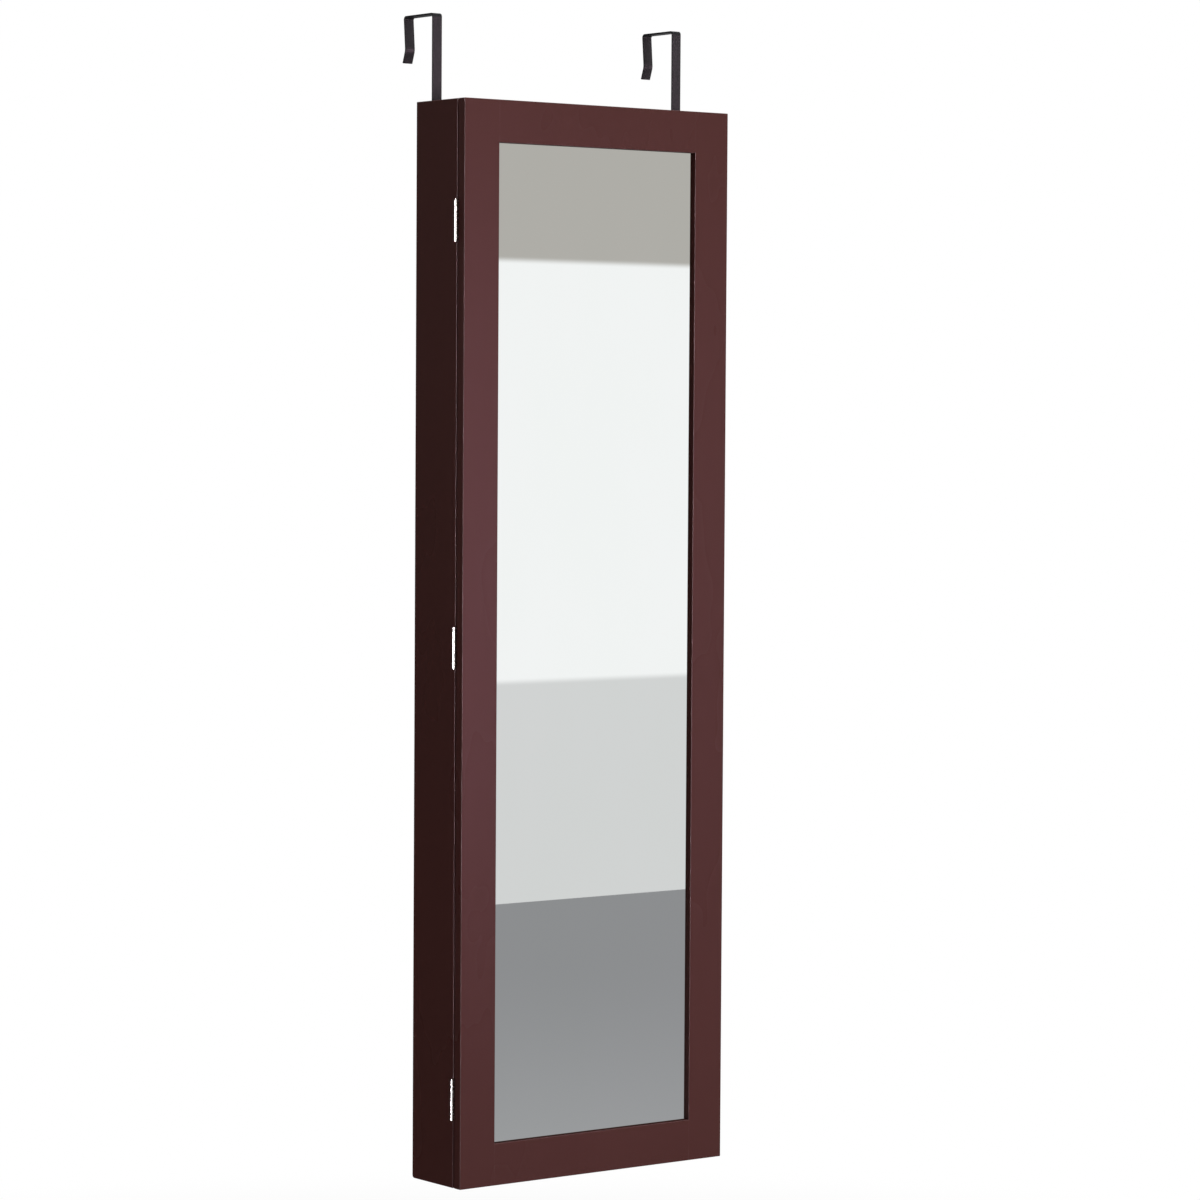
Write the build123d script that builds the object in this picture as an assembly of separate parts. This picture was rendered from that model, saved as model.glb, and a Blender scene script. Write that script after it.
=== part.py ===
from build123d import *
import os

os.makedirs("parts", exist_ok=True)

# A tall shallow jewelry cabinet with a mirrored door, hung over a room door on two strap hooks.
# Millimetres. X is width, Y runs from the front (minus) to the back plane at 0, Z is up.
# The origin is the bottom centre of the back plane.

# Overall sizes
cabinet_width = 368.0
cabinet_height = 1200.0
case_depth = 79.0
board_thickness = 9.0
arris_radius = 1.0
heel_radius = 3.5

# Back panel, rails and the room for the hook straps behind the panel
back_panel_thickness = 3.0
groove_depth = 4.0
groove_clearance = 0.15
rear_rail_thickness = 15.0
top_rail_height = 75.0
bottom_rail_height = 40.0
wall_hole_radius = 2.75
wall_hole_spacing = 200.0
wall_hole_drop = 24.0

# Door
door_gap = 2.0
door_thickness = 12.0
frame_width = 47.0
glass_thickness = 3.0
glass_cover = 6.0
backer_thickness = 3.0
backer_cover = 15.5
rabbet_clearance = 0.5

# Velvet
velvet_thickness = 1.0
back_lining_thickness = 1.5
lining_edge_gap = 0.3

# Hinges: the heights are of their centres
hinge_length = 45.0
top_hinge_drop = 133.5
middle_hinge_height = 598.0
bottom_hinge_height = 98.6
knuckle_count = 6
knuckle_radius = 2.25
knuckle_end_gap = 0.1
knuckle_clearance = 0.05
leaf_reach = 10.5
leaf_clearance = 0.1
leaf_relief = 0.3
hinge_pin_radius = 1.0
pin_clearance = 0.05
pin_head_radius = 1.7
pin_head_thickness = 0.5
hinge_screw_offset = 13.0

# Over-door hooks
hook_width = 12.0
hook_thickness = 2.0
hook_side_gap = 1.0
hook_slot_clearance = 0.5
hook_rise = 98.0
room_door_thickness = 35.0
room_door_clearance = 0.5
hook_leg_height = 52.0
hook_toe_height = 14.0
hook_leg_lean = 3.0
hook_toe_kick = 5.0
hook_bend_radius = 3.0
hook_toe_radius = 14.0
hook_hole_drop = 29.0
hook_hole_pitch = 15.0
hook_hole_count = 4
hook_holes_used = (0, 2)
hook_end_margin = 6.0
screw_tip_room = 2.0

# Clear heights of the bays, from the bottom up: the necklace bay takes what is left
bottom_bay_height = 141.0
bottle_bay_height = 152.0
bracelet_bay_height = 161.0
lipstick_bay_height = 161.0
ring_bay_height = 181.0

# Shelf rods, which keep bottles from falling out
shelf_rod_radius = 2.5
shelf_rod_rise = 28.0
shelf_rod_inset = 4.0
shelf_rod_depth = 5.0
shelf_rod_clearance = 0.1

# Necklace rail, hooks and pocket
necklace_rail_height = 20.0
necklace_rail_thickness = 12.0
necklace_rail_drop = 41.0
necklace_rail_side_gap = 15.0
necklace_hook_count = 12
necklace_hook_end_gap = 17.0
necklace_hook_radius = 0.9
necklace_hook_reach = 12.0
necklace_hook_lift = 9.0
necklace_hook_depth = 8.0
necklace_hook_bend_radius = 2.7
necklace_hook_tip_radius = 1.35
necklace_collar_radius = 2.6
necklace_collar_thickness = 0.8
necklace_screw_step = 4
pocket_side_gap = 22.0
pocket_rise = 8.0
pocket_height = 70.0
pocket_bottom_depth = 12.5
pocket_belly_depth = 19.5
pocket_belly_rise = 16.0
pocket_mouth_depth = 15.5
pocket_wall = 2.0

# Ring cushion
ring_board_thickness = 5.0
ring_board_margin = 3.8
ring_board_side_gap = 12.0
ring_roll_count = 9
ring_roll_gap = 1.6
ring_roll_radius = 7.2
ring_roll_flat = 2.0
ring_roll_end_gap = 5.0
ring_roll_end_radius = 4.0

# Lipstick holder
lipstick_pocket_count = 7
lipstick_pocket_size = 21.0
lipstick_wall = 2.0
lipstick_height = 30.0
lipstick_side_gap = 15.0
lipstick_back_gap = 3.0

# Bracelet rod and its open sockets
bracelet_rod_radius = 6.0
bracelet_rod_drop = 36.0
bracelet_rod_depth = 46.0
bracelet_rod_clearance = 0.2
socket_radius = 10.0
socket_length = 8.0
socket_web = 2.5
socket_end_gap = 0.3

# Magnetic catch
catch_shelf_gap = 52.0
catch_width = 13.0
catch_setback = 0.2
catch_length = 14.0
catch_body_height = 32.0
catch_flange_height = 8.0
catch_flange_thickness = 2.5
catch_magnet_width = 7.0
catch_magnet_height = 26.0
catch_magnet_depth = 9.0
catch_air_gap = 0.3
strike_width = 13.0
strike_height = 30.0
strike_thickness = 1.0
bumper_radius = 3.5
bumper_clearance = 0.3
bumper_height = 40.0

# Earring boards on the door
earring_board_width = 250.0
earring_board_height = 210.0
earring_board_thickness = 2.5
earring_board_gap = 9.0
earring_board_corner = 8.0
earring_swing_clearance = 2.0
earring_hole_radius = 1.3
earring_hole_columns = 10
earring_hole_rows = 8
earring_hole_pitch_x = 22.0
earring_hole_pitch_z = 22.0
earring_post_radius = 5.0
earring_post_inset = 10.0
lower_earring_board_height = 545.0
upper_earring_board_drop = 165.0

# Dowels
dowel_radius = 2.5
dowel_side_depth = 6.0
dowel_board_depth = 10.0
dowel_clearance = 0.05
front_dowel_setback = 22.0
rear_dowel_depth = 32.0
door_dowel_depth = 12.0
first_door_dowel_inset = 10.0
second_door_dowel_inset = 22.0

# Screws: shank radii and lengths under the head's top
screw_clearance = 0.05
hinge_screw_radius = 1.0
hinge_screw_length = 9.0
hook_screw_radius = 2.0
necklace_screw_radius = 1.5
necklace_screw_length = 26.0
small_screw_radius = 1.1
backer_screw_length = 8.5
backer_screws_up = 6
backer_screws_across = 2
catch_screw_length = 9.0
socket_screw_length = 8.0
earring_screw_length = 8.5
strike_screw_length = 9.0
head_to_shank = 1.9
pan_head_share = 0.45
recess_width_share = 0.3
recess_length_share = 1.2

# Places worked out from the sizes
half_width = cabinet_width / 2
inner_half = half_width - board_thickness
case_front = -case_depth
case_top = cabinet_height - board_thickness
panel_rear = -(rear_rail_thickness + hook_thickness + screw_tip_room)
panel_front = panel_rear - back_panel_thickness
lining_front = panel_front - back_lining_thickness
door_back = case_front - door_gap
door_front = door_back - door_thickness
lip_thickness = door_thickness - glass_thickness - backer_thickness - velvet_thickness
glass_front = door_front + lip_thickness
glass_back = glass_front + glass_thickness
backer_back = glass_back + backer_thickness
opening_half = half_width - frame_width
pin_x = -half_width - knuckle_radius - knuckle_clearance
pin_y = case_front - door_gap / 2
leaf_thickness = door_gap / 2 - leaf_clearance
hinge_heights = (bottom_hinge_height, middle_hinge_height, cabinet_height - top_hinge_drop)
earring_board_front = door_back + earring_board_gap + earring_board_thickness
shelf_front = earring_board_front + earring_swing_clearance
hook_x = inner_half - hook_side_gap - hook_width / 2
top_rail_bottom = case_top - top_rail_height
hook_tail = hook_hole_drop + (hook_hole_count - 1) * hook_hole_pitch + hook_end_margin

bay_heights = (
    bottom_bay_height,
    bottle_bay_height,
    bracelet_bay_height,
    lipstick_bay_height,
    ring_bay_height,
)
shelf_names = ("bottle_shelf", "bracelet_shelf", "lipstick_shelf", "ring_shelf", "necklace_shelf")
bay_floors = [board_thickness]
for bay_height in bay_heights:
    bay_floors.append(bay_floors[-1] + bay_height + board_thickness)
bottle_floor, bracelet_floor, lipstick_floor, ring_floor, necklace_floor = bay_floors[1:]
catch_reach = catch_body_height / 2 + catch_flange_height
catch_height = ring_floor - board_thickness - catch_shelf_gap - catch_reach

pieces = {}


def block(x_range, y_range, z_range):
    """A box between three pairs of coordinates, given in any order."""
    sizes = [abs(pair[1] - pair[0]) for pair in (x_range, y_range, z_range)]
    middle = [(pair[0] + pair[1]) / 2 for pair in (x_range, y_range, z_range)]
    return Pos(*middle) * Box(*sizes)


def bar(start, end, radius):
    """A round bar from one point to another."""
    reach = Vector(*end) - Vector(*start)
    base = Plane(origin=start, z_dir=reach)
    return base * Cylinder(radius, reach.length, align=(Align.CENTER, Align.CENTER, Align.MIN))


def cut(piece, tools):
    """The piece with every tool taken away."""
    for tool in tools:
        piece = piece - tool
    return piece


def group(solids):
    """Identical or related solids kept together as one node."""
    return Compound(children=list(solids))


def screw(place, direction, radius, length, sunk, grow=0.0):
    """A screw with its head's top centred on place, or with grow its hole.

    A sunk head is a cone flush with place. A pan head stands on the surface, with its top at place.
    """
    head_radius = radius * head_to_shank
    base = Plane(origin=place, z_dir=direction)
    stand = (Align.CENTER, Align.CENTER, Align.MIN)
    shank = Cylinder(radius + grow, length + grow, align=stand)
    if sunk:
        head = Cone(head_radius + grow, radius + grow, head_radius - radius, align=stand)
        head_height = head_radius - radius
    else:
        head_height = head_radius * pan_head_share
        head = Cylinder(head_radius + grow, head_height, align=stand)
    body = head + shank
    if grow == 0.0:
        recess_width = head_radius * recess_width_share
        recess_length = head_radius * recess_length_share
        body = body - Box(recess_width, recess_length, head_height)
        body = body - Box(recess_length, recess_width, head_height)
    return base * body


# Case dowels: every horizontal board has two at each end, and each rear rail has one
rail_middles = (case_top - top_rail_height / 2, board_thickness + bottom_rail_height / 2)
board_middles = [board_thickness / 2, cabinet_height - board_thickness / 2]
board_middles += [floor - board_thickness / 2 for floor in bay_floors[1:]]
dowel_places = [(-rear_rail_thickness / 2, height) for height in rail_middles]
for height in board_middles:
    dowel_places.append((case_front + front_dowel_setback, height))
    dowel_places.append((-rear_dowel_depth, height))


def case_dowel(side, depth, height, grow=0.0):
    """A dowel across the joint between a side panel and a board, or with grow its hole."""
    outer = side * (inner_half + dowel_side_depth + grow)
    inner = side * (inner_half - dowel_board_depth - grow)
    return bar((inner, depth, height), (outer, depth, height), dowel_radius + grow)


def dowel_holes(height):
    """The dowel holes at one height, on both sides."""
    places = [place for place in dowel_places if abs(place[1] - height) < board_thickness / 2]
    return [case_dowel(side, *place, dowel_clearance) for side in (-1, 1) for place in places]


pieces["case_dowels"] = group(
    case_dowel(side, *place) for side in (-1, 1) for place in dowel_places
)


# Screws of the case
def hinge_screws(on_door, grow=0.0):
    """The screws of all the case leaves, or of all the door leaves."""
    screws = []
    screw_x = pin_x + (knuckle_radius + leaf_relief + leaf_reach) / 2
    turn = 1 if not on_door else -1
    for height in hinge_heights:
        for offset in (-hinge_screw_offset, hinge_screw_offset):
            place = (screw_x, pin_y + turn * leaf_clearance, height + offset)
            args = (place, (0, turn, 0), hinge_screw_radius, hinge_screw_length, True, grow)
            screws.append(screw(*args))
    return screws


def hook_screws(grow=0.0):
    """The machine screws that go from the back through the rail into the straps."""
    length = rear_rail_thickness + hook_thickness + screw_tip_room / 2
    screws = []
    for side in (-1, 1):
        for hole in hook_holes_used:
            place = (side * hook_x, 0, cabinet_height - hook_hole_drop - hole * hook_hole_pitch)
            screws.append(screw(place, (0, -1, 0), hook_screw_radius, length, True, grow))
    return screws


necklace_rail_top = case_top - necklace_rail_drop
necklace_rail_middle = necklace_rail_top - necklace_rail_height / 2
necklace_rail_front = lining_front - necklace_rail_thickness
necklace_rail_half = inner_half - necklace_rail_side_gap
first_hook_x = necklace_hook_end_gap - necklace_rail_half
necklace_hook_pitch = -2 * first_hook_x / (necklace_hook_count - 1)


def necklace_screws(grow=0.0):
    """The screws, midway between hooks, that go through the rail and the back into the top rail."""
    screws = []
    for step in (-necklace_screw_step, 0, necklace_screw_step):
        place = (step * necklace_hook_pitch, necklace_rail_front, necklace_rail_middle)
        length = necklace_screw_length
        screws.append(screw(place, (0, 1, 0), necklace_screw_radius, length, True, grow))
    return screws


bracelet_rod_height = bracelet_floor + bracelet_bay_height - bracelet_rod_drop


def socket_screws(grow=0.0):
    """The screw in the web of each bracelet rod socket."""
    screws = []
    for side in (-1, 1):
        place = (
            side * (inner_half - socket_web),
            -bracelet_rod_depth,
            bracelet_rod_height,
        )
        length = socket_screw_length
        screws.append(screw(place, (side, 0, 0), small_screw_radius, length, True, grow))
    return screws


catch_front = case_front - catch_setback
catch_back = catch_front + catch_length
catch_screw_rise = (catch_body_height + catch_flange_height) / 2
pan_head_height = small_screw_radius * head_to_shank * pan_head_share


def catch_screws(grow=0.0):
    """The two pan-headed screws in the flanges of the catch."""
    screws = []
    for side in (-1, 1):
        place = (
            inner_half - catch_flange_thickness - pan_head_height,
            (catch_front + catch_back) / 2,
            catch_height + side * catch_screw_rise,
        )
        length = catch_screw_length
        screws.append(screw(place, (1, 0, 0), small_screw_radius, length, False, grow))
    return screws


pieces["hinge_case_screws"] = group(hinge_screws(on_door=False))
pieces["hinge_door_screws"] = group(hinge_screws(on_door=True))
pieces["hook_screws"] = group(hook_screws())
pieces["necklace_rail_screws"] = group(necklace_screws())
pieces["socket_screws"] = group(socket_screws())
pieces["catch_screws"] = group(catch_screws())


# Case panels. The top and bottom have a rounded front edge that lines up with the sides
groove_rear = panel_rear + groove_clearance
groove_front = panel_front - groove_clearance


def back_groove(z_range):
    """The groove that holds the edges of the back panel, between two heights."""
    reach = inner_half + groove_depth
    return block((-reach, reach), (groove_front, groove_rear), z_range)


shelf_rod_floors = (board_thickness, bottle_floor, bracelet_floor, lipstick_floor)
shelf_rod_y = shelf_front + shelf_rod_inset


def shelf_rods(grow=0.0):
    """The round rods in front of the lower bays, let into the sides, or with grow their holes."""
    rods = []
    reach = inner_half + shelf_rod_depth - shelf_rod_clearance + grow
    for floor in shelf_rod_floors:
        height = floor + shelf_rod_rise
        start = (-reach, shelf_rod_y, height)
        rods.append(bar(start, (reach, shelf_rod_y, height), shelf_rod_radius + grow))
    return rods


def side_panel(side):
    """A full-height side, with its dowel holes, groove, rod holes and screw holes.

    Its lower rear corner is the heel that the case is tipped up on, and is rounded off.
    """
    panel = block((side * inner_half, side * half_width), (case_front, 0), (0, cabinet_height))
    across = panel.edges().filter_by(Axis.X).group_by(Axis.Y)
    panel = fillet(across[-1].sort_by(Axis.Z)[0], heel_radius)
    shown_edges = panel.faces().sort_by(Axis.X)[0 if side < 0 else -1].edges()
    shown_edges += panel.edges().filter_by(Axis.X).group_by(Axis.Y)[0]
    panel = fillet(shown_edges, arris_radius) - back_groove((0, cabinet_height))
    holes = [case_dowel(side, *place, dowel_clearance) for place in dowel_places]
    holes += shelf_rods(shelf_rod_clearance)
    holes += socket_screws(screw_clearance)
    if side < 0:
        holes += hinge_screws(False, screw_clearance)
    else:
        holes += catch_screws(screw_clearance)
    return cut(panel, holes)


def flat_panel(z_range, outer_face):
    """The top or bottom panel, which fits between the sides."""
    panel = block((-inner_half, inner_half), (case_front, 0), z_range)
    front_edges = panel.edges().filter_by(Axis.X).group_by(Axis.Y)[0]
    panel = fillet(front_edges.sort_by(Axis.Z)[outer_face], arris_radius)
    groove = back_groove((board_thickness - groove_depth, case_top + groove_depth))
    return cut(panel, [groove] + dowel_holes(sum(z_range) / 2))


pieces["left_side_panel"] = side_panel(-1)
pieces["right_side_panel"] = side_panel(1)
pieces["bottom_panel"] = flat_panel((0, board_thickness), 0)
hook_notches = []
for side in (-1, 1):
    hook_notches.append(
        block(
            (side * inner_half, side * (hook_x - hook_width / 2 - hook_slot_clearance)),
            (
                -rear_rail_thickness + hook_slot_clearance,
                -rear_rail_thickness - hook_thickness - hook_slot_clearance,
            ),
            (case_top, cabinet_height),
        )
    )
pieces["top_panel"] = cut(flat_panel((case_top, cabinet_height), -1), hook_notches)

# Back panel, lining and rails
wall_holes = []
for side in (-1, 1):
    hole_x = side * wall_hole_spacing / 2
    hole_z = cabinet_height - wall_hole_drop
    wall_holes.append(bar((hole_x, lining_front, hole_z), (hole_x, 0, hole_z), wall_hole_radius))
panel_reach = groove_depth - groove_clearance
back_panel = block(
    (-inner_half - panel_reach, inner_half + panel_reach),
    (panel_front, panel_rear),
    (board_thickness - panel_reach, case_top + panel_reach),
)
back_lining = block(
    (-inner_half + lining_edge_gap, inner_half - lining_edge_gap),
    (lining_front, panel_front),
    (board_thickness + lining_edge_gap, case_top - lining_edge_gap),
)
rear_top_rail = block(
    (-inner_half, inner_half), (-rear_rail_thickness, 0), (top_rail_bottom, case_top)
)
rear_bottom_rail = block(
    (-inner_half, inner_half),
    (-rear_rail_thickness, 0),
    (board_thickness, board_thickness + bottom_rail_height),
)
necklace_screw_holes = necklace_screws(screw_clearance)
pieces["back_panel"] = cut(back_panel, wall_holes + necklace_screw_holes)
pieces["back_lining"] = cut(back_lining, wall_holes + necklace_screw_holes)
rail_holes = wall_holes + necklace_screw_holes + hook_screws(screw_clearance)
rail_holes += dowel_holes(rail_middles[0])
pieces["rear_top_rail"] = cut(rear_top_rail, rail_holes)
pieces["rear_bottom_rail"] = cut(rear_bottom_rail, dowel_holes(rail_middles[1]))

# Shelves, their linings and the rods in front
linings = []
lining_half = inner_half - lining_edge_gap
for name, floor in zip(shelf_names, bay_floors[1:]):
    shelf = block(
        (-inner_half, inner_half), (shelf_front, lining_front), (floor - board_thickness, floor)
    )
    pieces[name] = cut(shelf, dowel_holes(floor - board_thickness / 2))
for floor in bay_floors:
    linings.append(
        block(
            (-lining_half, lining_half),
            (shelf_front + lining_edge_gap, lining_front - lining_edge_gap),
            (floor, floor + velvet_thickness),
        )
    )
pieces["shelf_linings"] = group(linings)
pieces["shelf_rods"] = group(shelf_rods())


# Necklace bay
def necklace_hook(x, grow=0.0):
    """An L-shaped hook let into the rail, or with grow only its hole."""
    root = necklace_rail_front + necklace_hook_depth + grow
    if grow > 0.0:
        start = (x, root, necklace_rail_middle)
        end = (x, necklace_rail_front - necklace_collar_thickness, necklace_rail_middle)
        return bar(start, end, necklace_hook_radius + grow)
    tip_y = necklace_rail_front - necklace_hook_reach
    line = FilletPolyline(
        (x, root, necklace_rail_middle),
        (x, tip_y, necklace_rail_middle),
        (x, tip_y, necklace_rail_middle + necklace_hook_lift),
        radius=necklace_hook_bend_radius,
    )
    wire = sweep(Plane(origin=line @ 0, z_dir=line % 0) * Circle(necklace_hook_radius), path=line)
    tip = Pos(*(line @ 1)) * Sphere(necklace_hook_tip_radius)
    collar = bar(
        (x, necklace_rail_front, necklace_rail_middle),
        (x, necklace_rail_front - necklace_collar_thickness, necklace_rail_middle),
        necklace_collar_radius,
    )
    return wire + tip + collar


hook_places = [first_hook_x + step * necklace_hook_pitch for step in range(necklace_hook_count)]
necklace_rail = block(
    (-necklace_rail_half, necklace_rail_half),
    (necklace_rail_front, lining_front),
    (necklace_rail_top - necklace_rail_height, necklace_rail_top),
)
necklace_hook_holes = [necklace_hook(x, screw_clearance) for x in hook_places]
pieces["necklace_rail"] = cut(necklace_rail, necklace_screw_holes + necklace_hook_holes)
pieces["necklace_hooks"] = group(necklace_hook(x) for x in hook_places)

pocket_half = inner_half - pocket_side_gap
pocket_bottom = necklace_floor + pocket_rise
pocket_top = pocket_bottom + pocket_height


def pocket_shape(wall, top):
    """The pocket's outer form, or with a wall its hollow, up to a height."""
    outline = Polyline(
        (lining_front - wall, pocket_bottom + wall),
        (lining_front - pocket_bottom_depth + wall / 2, pocket_bottom + wall),
        (lining_front - pocket_belly_depth + wall, pocket_bottom + pocket_belly_rise),
        (lining_front - pocket_mouth_depth + wall, top),
        (lining_front - wall, top),
        close=True,
    )
    face = Plane.YZ * make_face(outline)
    reach = pocket_half - wall
    return Pos(-reach, 0, 0) * extrude(face, 2 * reach, dir=(1, 0, 0))


pieces["necklace_pocket"] = pocket_shape(0.0, pocket_top) - pocket_shape(pocket_wall, pocket_top)

# Ring cushion
ring_board_half = inner_half - ring_board_side_gap
ring_middle = ring_floor + ring_bay_height / 2
ring_board_front = lining_front - ring_board_thickness
ring_roll_pitch = 2 * ring_roll_radius + ring_roll_gap
ring_roll_rise = (ring_roll_count - 1) * ring_roll_pitch / 2
ring_board_reach = ring_roll_rise + ring_roll_radius + ring_board_margin
pieces["ring_board"] = block(
    (-ring_board_half, ring_board_half),
    (ring_board_front, lining_front),
    (ring_middle - ring_board_reach, ring_middle + ring_board_reach),
)


def ring_roll(height):
    """A padded roll with round ends, flat where it is glued to its board."""
    reach = ring_board_half - ring_roll_end_gap
    middle_y = ring_board_front - ring_roll_radius + ring_roll_flat
    roll = bar((-reach, middle_y, height), (reach, middle_y, height), ring_roll_radius)
    roll = fillet(roll.edges().filter_by(GeomType.CIRCLE), ring_roll_end_radius)
    behind = block(
        (-reach, reach),
        (ring_board_front, ring_board_front + ring_roll_flat),
        (height - ring_roll_radius, height + ring_roll_radius),
    )
    return roll - behind


first_roll = ring_middle - ring_roll_rise
roll_heights = [first_roll + step * ring_roll_pitch for step in range(ring_roll_count)]
pieces["ring_rolls"] = group(ring_roll(height) for height in roll_heights)

# Lipstick holder, a tray of square pockets on its shelf
lipstick_left = -inner_half + lipstick_side_gap
lipstick_step = lipstick_pocket_size + lipstick_wall
lipstick_right = lipstick_left + lipstick_pocket_count * lipstick_step + lipstick_wall
lipstick_rear = lining_front - lipstick_back_gap
lipstick_front = lipstick_rear - lipstick_pocket_size - 2 * lipstick_wall
lipstick_base = lipstick_floor + velvet_thickness
lipstick_pockets = []
for step in range(lipstick_pocket_count):
    pocket_left = lipstick_left + lipstick_wall + step * lipstick_step
    lipstick_pockets.append(
        block(
            (pocket_left, pocket_left + lipstick_pocket_size),
            (lipstick_rear - lipstick_wall, lipstick_front + lipstick_wall),
            (lipstick_base + lipstick_wall, lipstick_base + lipstick_height),
        )
    )
lipstick_body = block(
    (lipstick_left, lipstick_right),
    (lipstick_front, lipstick_rear),
    (lipstick_base, lipstick_base + lipstick_height),
)
lipstick_body = fillet(lipstick_body.edges().filter_by(Axis.Z), lipstick_wall)
pieces["lipstick_holder"] = cut(lipstick_body, lipstick_pockets)


# Bracelet rod
def rod_socket(side):
    """A round cup, open at the top, that one end of the bracelet rod drops into."""
    height = bracelet_rod_height
    wall = side * inner_half
    web = side * (inner_half - socket_web)
    mouth = side * (inner_half - socket_length)
    trough_radius = bracelet_rod_radius + bracelet_rod_clearance
    cup = bar((wall, -bracelet_rod_depth, height), (mouth, -bracelet_rod_depth, height), socket_radius)
    trough = bar(
        (web, -bracelet_rod_depth, height), (mouth, -bracelet_rod_depth, height), trough_radius
    )
    way_in = block(
        (web, mouth),
        (-bracelet_rod_depth - trough_radius, -bracelet_rod_depth + trough_radius),
        (height, height + socket_radius),
    )
    return cut(cup, [trough, way_in] + socket_screws(screw_clearance))


rod_reach = inner_half - socket_web - socket_end_gap
rod_start = (-rod_reach, -bracelet_rod_depth, bracelet_rod_height)
rod_end = (rod_reach, -bracelet_rod_depth, bracelet_rod_height)
pieces["bracelet_rod"] = bar(rod_start, rod_end, bracelet_rod_radius)
pieces["bracelet_rod_sockets"] = group(rod_socket(side) for side in (-1, 1))

# Magnetic catch on the right side, its strike plate on the door, and bumper pads
strike_front = door_back + strike_thickness
magnet_front = strike_front + catch_air_gap
catch_inner = inner_half - catch_width
magnet_x = inner_half - catch_width / 2
magnet = block(
    (magnet_x - catch_magnet_width / 2, magnet_x + catch_magnet_width / 2),
    (magnet_front, magnet_front + catch_magnet_depth),
    (catch_height - catch_magnet_height / 2, catch_height + catch_magnet_height / 2),
)
catch_body = block(
    (catch_inner, inner_half),
    (catch_front, catch_back),
    (catch_height - catch_body_height / 2, catch_height + catch_body_height / 2),
)
catch_body = fillet(catch_body.edges().filter_by(Axis.Y).group_by(Axis.X)[0], catch_flange_thickness)
catch_flange = block(
    (inner_half - catch_flange_thickness, inner_half),
    (catch_front, catch_back),
    (catch_height - catch_reach, catch_height + catch_reach),
)
catch_housing = catch_body + catch_flange - magnet
pieces["catch_magnet"] = magnet
pieces["catch_housing"] = cut(catch_housing, catch_screws(screw_clearance))
strike_place = (magnet_x, strike_front, catch_height)
strike_args = (strike_place, (0, -1, 0), small_screw_radius, strike_screw_length, True)
strike_hole = screw(*strike_args, screw_clearance)
strike_plate = block(
    (magnet_x - strike_width / 2, magnet_x + strike_width / 2),
    (door_back, strike_front),
    (catch_height - strike_height / 2, catch_height + strike_height / 2),
)
pieces["strike_plate"] = strike_plate - strike_hole
pieces["strike_screw"] = screw(*strike_args)
bumpers = []
bumper_x = half_width - board_thickness / 2
for height in (bumper_height, cabinet_height - bumper_height):
    start = (bumper_x, case_front, height)
    bumpers.append(bar(start, (bumper_x, door_back + bumper_clearance, height), bumper_radius))
pieces["bumper_pads"] = group(bumpers)


# Hinges
def knuckle(height, index):
    """One of a hinge's knuckles, counted from the bottom."""
    pitch = hinge_length / knuckle_count
    low = height - hinge_length / 2 + index * pitch + knuckle_end_gap
    high = low + pitch - 2 * knuckle_end_gap
    return bar((pin_x, pin_y, low), (pin_x, pin_y, high), knuckle_radius)


def hinge_leaf(height, on_door):
    """A leaf with every other knuckle and two countersunk holes."""
    turn = -1 if on_door else 1
    near = pin_y + turn * leaf_clearance
    far = near + turn * leaf_thickness
    low = height - hinge_length / 2
    plate_edge = pin_x + knuckle_radius + leaf_relief
    leaf = block((plate_edge, pin_x + leaf_reach), (near, far), (low, low + hinge_length))
    pitch = hinge_length / knuckle_count
    for index in range(int(on_door), knuckle_count, 2):
        tab_low = low + index * pitch + knuckle_end_gap
        tab_high = tab_low + pitch - 2 * knuckle_end_gap
        leaf = leaf + block((pin_x, plate_edge), (near, far), (tab_low, tab_high))
        leaf = leaf + knuckle(height, index)
    bore_ends = ((pin_x, pin_y, low), (pin_x, pin_y, low + hinge_length))
    leaf = leaf - bar(*bore_ends, hinge_pin_radius + pin_clearance)
    return cut(leaf, hinge_screws(on_door, screw_clearance))


def hinge_pin(height):
    """A pin with a small head beyond each end of the barrel."""
    reach = hinge_length / 2
    pin = bar((pin_x, pin_y, height - reach), (pin_x, pin_y, height + reach), hinge_pin_radius)
    for side in (-1, 1):
        inner = height + side * reach
        outer = inner + side * pin_head_thickness
        pin = pin + bar((pin_x, pin_y, inner), (pin_x, pin_y, outer), pin_head_radius)
    return pin


pieces["hinge_case_leaves"] = group(hinge_leaf(height, False) for height in hinge_heights)
pieces["hinge_door_leaves"] = group(hinge_leaf(height, True) for height in hinge_heights)
pieces["hinge_pins"] = group(hinge_pin(height) for height in hinge_heights)


# Over-door hooks
def door_hook(side):
    """A flat strap: up out of the case, back over the room door, and down behind it."""
    x = side * hook_x
    half = hook_thickness / 2
    strap_y = -rear_rail_thickness - half
    bridge_z = cabinet_height + hook_rise - half
    kink_y = room_door_thickness + room_door_clearance + half
    line = FilletPolyline(
        (x, strap_y, cabinet_height - hook_tail),
        (x, strap_y, bridge_z),
        (x, kink_y + hook_leg_lean, bridge_z),
        (x, kink_y, bridge_z + half - hook_leg_height + hook_toe_height),
        (x, kink_y + hook_toe_kick, bridge_z + half - hook_leg_height),
        radius=[hook_bend_radius, hook_bend_radius, hook_toe_radius],
    )
    section = Plane(origin=line @ 0, z_dir=line % 0, x_dir=(1, 0, 0))
    strap = sweep(section * Rectangle(hook_width, hook_thickness), path=line)
    holes = []
    for hole in range(hook_hole_count):
        height = cabinet_height - hook_hole_drop - hole * hook_hole_pitch
        start = (x, strap_y - hook_thickness, height)
        end = (x, strap_y + hook_thickness, height)
        holes.append(bar(start, end, hook_screw_radius + screw_clearance))
    return cut(strap, holes)


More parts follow.
